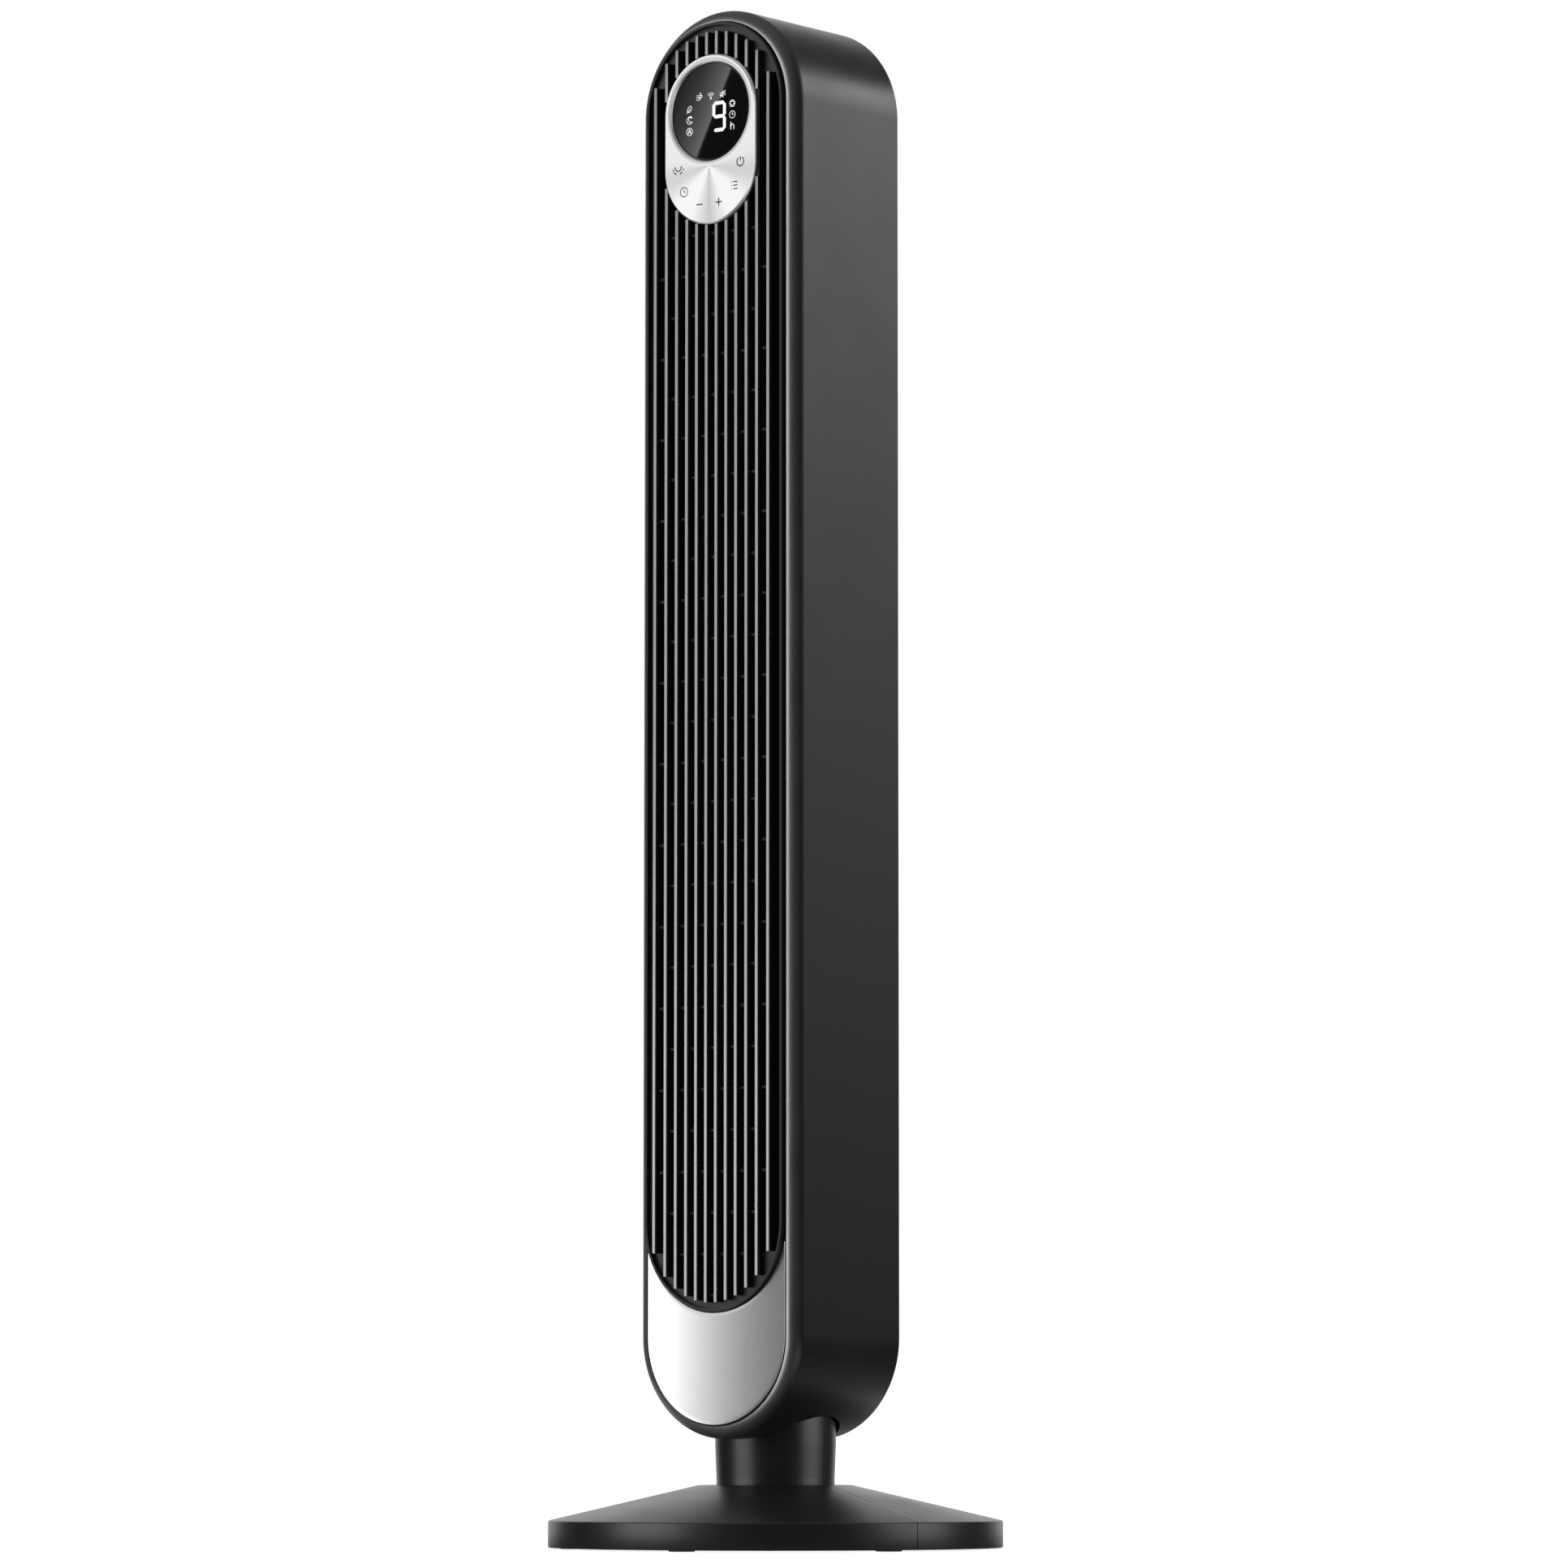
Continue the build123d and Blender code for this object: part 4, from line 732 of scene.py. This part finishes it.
def make_control_plate():
    """Spun silver plate with a bevelled edge and a round window hole."""
    bm = bmesh.new()
    y_back, y_front = plate_high.y, plate_low.y
    radius = PLATE_RADIUS
    profile = [
        (radius, y_back), (radius, y_front + 1.75 * MM),
        (radius - 0.12 * MM, y_front + 1.55 * MM),
        (radius - 1.05 * MM, y_front + 0.22 * MM), (radius - 1.35 * MM, y_front + 0.04 * MM),
        (radius - 1.75 * MM, y_front), (radius - 2.1 * MM, y_front),
    ]
    loops = [add_loop(bm, stadium(r, PLATE_LOW_Z, PLATE_HIGH_Z), y) for r, y in profile]
    for first, second in zip(loops[:-1], loops[1:]):
        bridge(bm, first, second)
    hole_front = add_loop(bm, stadium(RING_RADIUS, DISPLAY_Z, DISPLAY_Z), y_front)
    hole_back = add_loop(bm, stadium(RING_RADIUS, DISPLAY_Z, DISPLAY_Z), y_back)
    bridge(bm, hole_front, hole_back)
    fill(bm, loops[-1], hole_front)
    fill(bm, loops[0], hole_back)
    finish_mesh("control_plate_skin", bm, MATERIALS["brushed_silver"], "head", ["control_plate"],
                sharp=25)


def make_display_ring():
    """Bevelled silver ring round the window, with a dark inner wall behind it."""
    bm = bmesh.new()
    y_front = ring_low.y
    profile = [
        (RING_RADIUS, ring_high.y), (RING_RADIUS, y_front + 0.05 * MM),
        (RING_RADIUS - 0.2 * MM, y_front - 0.05 * MM), (RING_RADIUS - 0.9 * MM, y_front),
        (LENS_RADIUS + 1.15 * MM, y_front + 0.14 * MM),
        (LENS_RADIUS + 0.9 * MM, y_front + 0.30 * MM),
        (LENS_RADIUS + 0.3 * MM, y_front + 1.15 * MM),
        (LENS_RADIUS + 0.1 * MM, y_front + 1.35 * MM),
        (LENS_RADIUS + 0.1 * MM, ring_high.y),
    ]
    swept_ring(bm, profile, DISPLAY_Z, DISPLAY_Z)
    finish_mesh("display_ring_bevel", bm, MATERIALS["trim_silver"], "head", ["display_ring"],
                sharp=20)


def make_display_lens():
    """Window recessed behind the ring: dark wall and a polished face."""
    bm = bmesh.new()
    face_y = lens_low.y + 0.9 * MM
    wall_y = ring_low.y + 1.3 * MM
    outer = LENS_RADIUS + 0.08 * MM
    profile = [(outer, lens_high.y), (outer, wall_y), (outer - 0.25 * MM, wall_y),
               (outer - 0.45 * MM, face_y - 0.05 * MM), (outer - 0.6 * MM, face_y),
               (outer - 1.0 * MM, face_y)]
    loops = [add_loop(bm, stadium(r, DISPLAY_Z, DISPLAY_Z), y) for r, y in profile]
    for first, second in zip(loops[:-1], loops[1:]):
        bridge(bm, first, second)
    bm.faces.new(loops[-1])
    bm.faces.new(loops[0][::-1])
    finish_mesh("display_window", bm, MATERIALS["display_glass"], "head", ["display_lens"],
                sharp=30)
    return face_y


# ---------------------------------------------------------------- head: signs
def seven_segment_bar(start, end, half):
    """Long hexagon between two points, with pointed ends."""
    start, end = Vector(start), Vector(end)
    along = (end - start).normalized()
    across = Vector((-along.y, along.x)) * half
    gap = along * DIGIT_BAR_GAP
    inner = along * half
    first, last = start + gap, end - gap
    return [first, first + inner - across, last - inner - across, last,
            last - inner + across, first + inner + across]


def make_display_symbols(face_y):
    """Lit digit and small generic signs, a hair in front of the window."""
    bm = bmesh.new()
    y_front, y_back = face_y - 0.06 * MM, face_y + 0.02 * MM
    left, right = DIGIT_LEFT, DIGIT_RIGHT
    low, middle, high = DIGIT_BAR_HEIGHTS
    bars = [((left, z), (right, z)) for z in (high, middle, low)]
    bars += [((right, middle), (right, high)), ((right, low), (right, middle))]
    bars += [((left, middle), (left, high))]
    for start, end in bars:
        add_prism(bm, seven_segment_bar(start, end, DIGIT_BAR_HALF), y_front, y_back)

    def line(points, width=0.42, closed=False):
        add_stroke(bm, points, width * MM, y_front, y_back, closed)

    def at(x, z, points):
        return [((x + px) * MM, (z + pz) * MM) for px, pz in points]

    # clock, ringed arrowhead, moon, leaf
    line(at(19.3, 993.0, arc(2.5, 0, 360, 28)[:-1]), closed=True)
    line(at(19.3, 993.0, [(0, 1.6), (0, 0), (1.3, 0)]))
    line(at(-19.2, 985.0, arc(2.6, 0, 360, 28)[:-1]), closed=True)
    line(at(-19.2, 985.0, [(-1.2, -1.4), (0, 1.5), (1.2, -1.4)]), 0.7)
    moon = arc(2.5, 60, 330, 18) + arc(2.1, 300, 95, 12, (1.2, 0.9))
    line(at(-19.2, 993.0, moon), closed=True)
    line(at(-17.6, 995.0, arc(0.35, 0, 360, 8)[:-1]), 0.6, closed=True)
    leaf = arc(3.2, 100, 190, 10, (1.3, -1.0)) + arc(3.2, -80, 10, 10, (-1.3, 1.0))
    line(at(-19.2, 1001.0, leaf), closed=True)
    line(at(-19.2, 1001.0, [(-2.4, -2.8), (-0.8, -0.9), (0.6, 0.6)]))
    # radio arcs, breeze, struck-out speaker
    for radius in (1.3, 2.6, 3.9):
        line(at(0.0, 1006.4, arc(radius, 45, 135, 10)))
    line(at(0.0, 1006.4, arc(0.35, 0, 360, 8)[:-1]), 0.6, closed=True)
    for rise, reach in ((1.3, 0.6), (-0.2, 1.6), (-1.7, 0.2)):
        curl = [(-2.8, rise)] + arc(0.8, -90, 150, 8, (reach, rise + 0.8))
        line(at(-10.3, 1008.4, curl))
    line(at(10.6, 1008.4, [(-2.2, -0.7), (-1.1, -0.7), (0.3, -2.0), (0.3, 2.0), (-1.1, 0.7),
                           (-2.2, 0.7)]), closed=True)
    line(at(10.6, 1008.4, arc(1.6, -45, 45, 8, (0.6, 0))))
    line(at(10.6, 1008.4, [(-2.3, -2.4), (2.5, 2.5)]))
    # flower-shaped fan and the hour sign
    for k in range(5):
        turn = math.radians(90 + 72 * k)
        centre = (1.5 * math.cos(turn), 1.5 * math.sin(turn))
        line(at(19.3, 1000.8, arc(1.0, 90 + 72 * k - 125, 90 + 72 * k + 125, 10, centre)))
    line(at(19.3, 985.0, [(-1.3, 2.9), (-1.3, -2.5)]), 0.6)
    hour = [(-1.3, -0.2)] + arc(1.35, 150, 20, 8, (0.0, -0.1))
    hour += [(1.35, -0.6), (1.35, -2.5)]
    line(at(19.3, 985.0, hour), 0.6)
    finish_mesh("display_signs", bm, MATERIALS["symbol_light"], "head", ["display_symbols"],
                sharp=20)


def make_touch_icons():
    """Printed touch icons on an arc about the plate's lower centre."""
    bm = bmesh.new()
    y_front, y_back = plate_low.y - 0.03 * MM, plate_low.y + 0.02 * MM

    def line(points, width=0.8, closed=False):
        add_stroke(bm, points, width * MM, y_front, y_back, closed)

    def at(step, points):
        turn = math.radians(-TOUCH_ICON_STEP * step)
        x = TOUCH_ICON_CIRCLE * math.cos(turn)
        z = PLATE_LOW_Z / MM + TOUCH_ICON_CIRCLE * math.sin(turn)
        return [((x + px) * MM, (z + pz) * MM) for px, pz in points]

    # power, menu, plus, minus, clock, swing
    line(at(0, arc(3.1, 120, 420, 24, (0, -0.3))))
    line(at(0, [(0, 0.2), (0, 3.3)]))
    for row in (2.5, 0.0, -2.5):
        line(at(1, [(-0.9, row), (2.7, row)]), 0.75)
        line(at(1, [(-2.7, row), (-2.0, row)]), 0.75)
    line(at(2, [(-2.8, 0), (2.8, 0)]), 0.85)
    line(at(2, [(0, -2.8), (0, -0.43)]), 0.85)
    line(at(2, [(0, 0.43), (0, 2.8)]), 0.85)
    line(at(3, [(-2.8, 0), (2.8, 0)]), 0.85)
    line(at(4, arc(3.3, 0, 360, 36)[:-1]), 0.62, closed=True)
    line(at(4, [(0, 1.9), (0, 0), (1.6, 0)]), 0.62)
    line(at(5, arc(2.7, 190, 350, 14, (0, 1.6))), 0.75)
    for side in (-1, 1):
        knob = [(side * 2.75 + px, 1.5 + pz) for px, pz in arc(0.42, 0, 360, 8)[:-1]]
        line(at(5, knob), 0.5, closed=True)
    for start in (195, 222, 238, 289, 305, 332):
        line(at(5, arc(4.9, start, start + 13, 4, (0, 1.6))), 1.0)
    finish_mesh("touch_signs", bm, MATERIALS["icon_print"], "head", ["touch_icons"],
                sharp=20)


# ---------------------------------------------------------------- base
def base_profile():
    """Section of the base's skin as (radius, height), with rounded edges."""
    rim, ledge, hole = BASE_RADIUS, BASE_LEDGE_RADIUS, BASE_HOLE_RADIUS
    points = [(hole, 43.6), (hole + 0.3, 43.9), (ledge - 0.4, 43.9), (ledge + 0.4, 43.75)]
    points += [(rim - 1.2, 19.78), (rim - 0.55, 19.5), (rim - 0.15, 19.05), (rim, 18.4)]
    points += [(rim, 1.7), (rim - 0.2, 1.2), (rim - 0.7, 1.0), (rim - BASE_WALL, 1.0)]
    points += [(rim - BASE_WALL, 17.2), (ledge, 41.2), (hole, 41.2)]
    return [(radius * MM, z * MM) for radius, z in points]


def make_base_half(name, node, sign):
    """Half of the conical base: a lathed skin cut at the seam. Sign is 1 in front and -1 behind."""
    bm = bmesh.new()
    profile = base_profile()
    loops = []
    for i in range(BASE_STEPS):
        angle = 2 * math.pi * i / BASE_STEPS
        loops.append([bm.verts.new((r * math.cos(angle), r * math.sin(angle), z))
                      for r, z in profile])
    for i, loop in enumerate(loops):
        bridge(bm, loop, loops[(i + 1) % BASE_STEPS])
    turn = math.radians(SPLIT_DEG)
    normal = Vector((math.sin(turn), -math.cos(turn), 0))
    centre = -normal * SPLIT_OFFSET + normal * sign * SEAM_HALF_GAP
    cut = bmesh.ops.bisect_plane(bm, geom=bm.verts[:] + bm.edges[:] + bm.faces[:], dist=1e-7,
                                 plane_co=centre, plane_no=normal * sign, clear_inner=True)
    seam = [e for e in cut["geom_cut"] if isinstance(e, bmesh.types.BMEdge)]
    bmesh.ops.edgenet_fill(bm, edges=seam)
    finish_mesh(name, bm, MATERIALS["satin_black"], "stand", [node], sharp=25)


# ---------------------------------------------------------------- build
make_slat_strips()
make_grille_rim()
make_grille_ribs()
make_inlet_screen()
make_shell()
make_lower_panel()
make_control_plate()
make_display_ring()
window_y = make_display_lens()
make_display_symbols(window_y)
make_touch_icons()
make_base_half("base_front_skin", "base_front_half", 1)
make_base_half("base_rear_skin", "base_rear_half", -1)


# ---------------------------------------------------------------- stage, light and camera
SHELL = ["shell_skin"]
STAND = ["neck_column", "base_front_skin", "base_rear_skin"]
SILVER = ["slat_strips", "control_plate_skin", "display_ring_bevel"]
PANEL = ["lower_panel_skin"]
GRILLE = ["front_grille", "grille_rim_bead", "grille_ribs"]
BACK = ["rear_cover", "handle_cup", "rear_screws"]
SIDE_LEVELS = [0.27, 0.50, 0.88, 1.55, 3.0, 4.9]
SHEEN_TOP = (0.0167, 0.0255)
SHEEN_FOOT = (-0.0117, -0.0290)
SHEEN_DISTANCE = 0.45
SHEEN_SIZE = (0.085, 0.2)
SHEEN_RADIANCE = 1.6
BEHIND = (-0.627, 0.779)


def make_floor():
    """Pale floor that neither lights the object nor shows in it."""
    bm = bmesh.new()
    bmesh.ops.create_grid(bm, x_segments=2, y_segments=2, size=60.0)
    mesh = bpy.data.meshes.new("floor")
    bm.to_mesh(mesh)
    bm.free()
    floor = bpy.data.objects.new("floor", mesh)
    bpy.context.scene.collection.objects.link(floor)
    material, nodes, links, shader = new_material("floor_white")
    shader.inputs["Base Color"].default_value = (0.8, 0.8, 0.8, 1)
    shader.inputs["Roughness"].default_value = 1.0
    shader.inputs["Specular IOR Level"].default_value = 0.0
    shader.inputs["Emission Color"].default_value = (1, 1, 1, 1)
    shader.inputs["Emission Strength"].default_value = 0.85
    mesh.materials.append(material)
    floor.visible_diffuse = False
    floor.visible_glossy = False
    floor.visible_shadow = False


def softbox(name, azimuth, elevation, distance, width, height, radiance, only,
            aim=(0, 0, 0.55), through=False):
    """Rectangular soft light that faces the aim point and lights only the named pieces.

    Azimuth 0 is in front and 90 to the right. Other pieces cast no shadow in it if it goes through.
    """
    light = bpy.data.lights.new(name, "AREA")
    light.shape = "RECTANGLE"
    light.size = width
    light.size_y = height
    light.energy = radiance * width * height * math.pi
    lamp = bpy.data.objects.new(name, light)
    turn, rise = math.radians(azimuth), math.radians(elevation)
    away = Vector((math.sin(turn) * math.cos(rise), -math.cos(turn) * math.cos(rise),
                   math.sin(rise)))
    lamp.location = Vector(aim) + away * distance
    lamp.rotation_euler = away.to_track_quat("Z", "Y").to_euler()
    lamp.visible_camera = False
    bpy.context.scene.collection.objects.link(lamp)
    receivers = bpy.data.collections.new(name + "_receivers")
    for piece_name in only:
        receivers.objects.link(bpy.data.objects[piece_name])
    lamp.light_linking.receiver_collection = receivers
    if through:
        lamp.light_linking.blocker_collection = receivers


def window_sheen(face_y):
    """Soft box whose straight edge shows as the slanting sheen on the display window."""
    eye = Vector(EYE)
    mirrored = Vector((eye.x, 2 * face_y - eye.y, eye.z))
    ends = [Vector((x, face_y, DISPLAY_Z + rise)) for x, rise in (SHEEN_TOP, SHEEN_FOOT)]
    spots = [end + (end - mirrored).normalized() * SHEEN_DISTANCE for end in ends]
    along = (spots[0] - spots[1]).normalized()
    ray = ((spots[0] + spots[1]) / 2 - Vector((0, face_y, DISPLAY_Z))).normalized()
    across = along.cross(ray).normalized()
    left = Vector((-LENS_RADIUS, face_y, DISPLAY_Z))
    left_spot = left + (left - mirrored).normalized() * SHEEN_DISTANCE
    middle = (spots[0] + spots[1]) / 2
    if (left_spot - middle).dot(across) < 0:
        across = -across
    width, height = SHEEN_SIZE
    light = bpy.data.lights.new("window_sheen", "AREA")
    light.shape = "RECTANGLE"
    light.size = width
    light.size_y = height
    light.energy = SHEEN_RADIANCE * width * height * math.pi
    light.use_nodes = True
    nodes, links = light.node_tree.nodes, light.node_tree.links
    emission = nodes["Emission"]
    place = nodes.new("ShaderNodeNewGeometry")
    split = nodes.new("ShaderNodeSeparateXYZ")
    links.new(place.outputs["Parametric"], split.inputs[0])
    fade = ramp(nodes, links, split.outputs["X"], [
        (0.0, 1.0), (0.08, 0.62), (0.20, 0.27), (0.36, 0.09), (1.0, 0.05),
    ])
    links.new(fade, emission.inputs["Strength"])
    lamp = bpy.data.objects.new("window_sheen", light)
    y_axis = ray.cross(across).normalized()
    x_axis = y_axis.cross(ray).normalized()
    lamp.matrix_world = Matrix((x_axis, y_axis, ray)).transposed().to_4x4()
    lamp.location = middle + across * width / 2
    lamp.visible_camera = False
    bpy.context.scene.collection.objects.link(lamp)
    receivers = bpy.data.collections.new("window_sheen_receivers")
    receivers.objects.link(bpy.data.objects["display_window"])
    lamp.light_linking.receiver_collection = receivers


def make_world():
    """White surroundings for the camera; for the light, a dim dome and a pale wall behind."""
    world = bpy.data.worlds.new("studio")
    bpy.context.scene.world = world
    world.use_nodes = True
    nodes, links = world.node_tree.nodes, world.node_tree.links
    nodes.clear()
    output = nodes.new("ShaderNodeOutputWorld")
    mix = nodes.new("ShaderNodeMixShader")
    path = nodes.new("ShaderNodeLightPath")
    seen = nodes.new("ShaderNodeBackground")
    seen.inputs["Color"].default_value = (1, 1, 1, 1)
    seen.inputs["Strength"].default_value = 1.0
    lighting = nodes.new("ShaderNodeBackground")
    coords = nodes.new("ShaderNodeTexCoord")
    split = nodes.new("ShaderNodeSeparateXYZ")
    links.new(coords.outputs["Generated"], split.inputs[0])
    half_z = math_node(nodes, links, "MULTIPLY", split.outputs["Z"], 0.5)
    raised = math_node(nodes, links, "ADD", half_z, 0.5)
    dome = ramp(nodes, links, raised, [
        (0.0, 0.05), (0.20, 0.30), (0.32, 0.16), (0.44, 0.03), (0.55, 0.05), (0.75, 0.05),
        (1.0, 0.5),
    ])
    backward = math_node(nodes, links, "ADD",
                         math_node(nodes, links, "MULTIPLY", split.outputs["X"], BEHIND[0]),
                         math_node(nodes, links, "MULTIPLY", split.outputs["Y"], BEHIND[1]))
    wall = ramp(nodes, links, backward, [(0.70, 0.0), (0.90, 1.0)])
    band = ramp(nodes, links, raised, [(0.44, 0.0), (0.50, 1.1), (0.80, 1.1), (0.88, 0.0)])
    backdrop = math_node(nodes, links, "MULTIPLY", wall, band)
    dome = math_node(nodes, links, "ADD", dome, backdrop)
    links.new(dome, lighting.inputs["Color"])
    links.new(path.outputs["Is Camera Ray"], mix.inputs["Fac"])
    links.new(lighting.outputs[0], mix.inputs[1])
    links.new(seen.outputs[0], mix.inputs[2])
    links.new(mix.outputs[0], output.inputs["Surface"])


def make_camera():
    """Camera low in front and to the right, far away, tipped slightly up."""
    camera = bpy.data.cameras.new("camera")
    camera.sensor_width = 36.0
    camera.lens = VIEW_LENS
    camera.clip_end = 200.0
    eye = bpy.data.objects.new("camera", camera)
    eye.location = EYE
    eye.rotation_euler = Vector(VIEW_FORWARD).to_track_quat("-Z", "Y").to_euler()
    bpy.context.scene.collection.objects.link(eye)
    bpy.context.scene.camera = eye


make_floor()
make_world()
softbox("silver_left", -40, 8, 2.2, 1.3, 2.6, 1.2, SILVER)
softbox("silver_right", 36, 5, 2.0, 1.5, 2.4, 1.5, SILVER + PANEL)
softbox("silver_below", -55, -42, 1.6, 1.2, 1.2, 1.0, SILVER, aim=(0, 0, 0.95))
softbox("panel_below", -55, -42, 1.6, 1.2, 1.2, 1.0, PANEL, aim=(0, 0, 0.15), through=True)
softbox("grille_left", -34, 8, 2.2, 2.0, 2.6, 1.3, GRILLE)
softbox("ridge_top", -44, 23, 2.0, 1.4, 0.35, 14.0, SHELL, aim=(0, 0, 1.0))
softbox("panel_left", -69, 6, 1.6, 1.6, 1.6, 2.7, PANEL, aim=(0, 0, 0.15))
softbox("ridge_strip", -16, 5, 2.0, 0.9, 2.4, 18.0, SHELL)
softbox("stand_left", -26, 8, 2.0, 1.3, 1.2, 3.4, STAND, aim=(0, 0, 0.1))
softbox("stand_right", 112, 8, 2.0, 1.3, 1.2, 2.9, STAND, aim=(0, 0, 0.1))
softbox("underside", 190, -40, 1.2, 0.9, 0.7, 1.0, SHELL, aim=(0, 0, 0.1), through=True)
softbox("stand_top", -141, 80, 1.6, 0.35, 0.35, 14.0, STAND, aim=(0, 0, 0.02))
for light_name, azimuth in (("fill_right", 88), ("fill_left", -92)):
    softbox(light_name, azimuth, -30, 2.0, 1.4, 0.6, 1.0, SHELL + BACK, through=True)
# Stacked boxes that brighten upwards shade the casing's sides from dark below to lighter above.
for i, level in enumerate(SIDE_LEVELS):
    height = (0, 0, 0.25 + 0.3 * i)
    softbox("side_right_%d" % i, 143, 0, 1.6, 1.0, 0.3, level, SHELL + BACK, aim=height)
    softbox("side_left_%d" % i, -120, 0, 1.6, 1.0, 0.3, level, SHELL + BACK, aim=height)
window_sheen(window_y)
make_camera()
bpy.context.scene.view_settings.view_transform = "Standard"
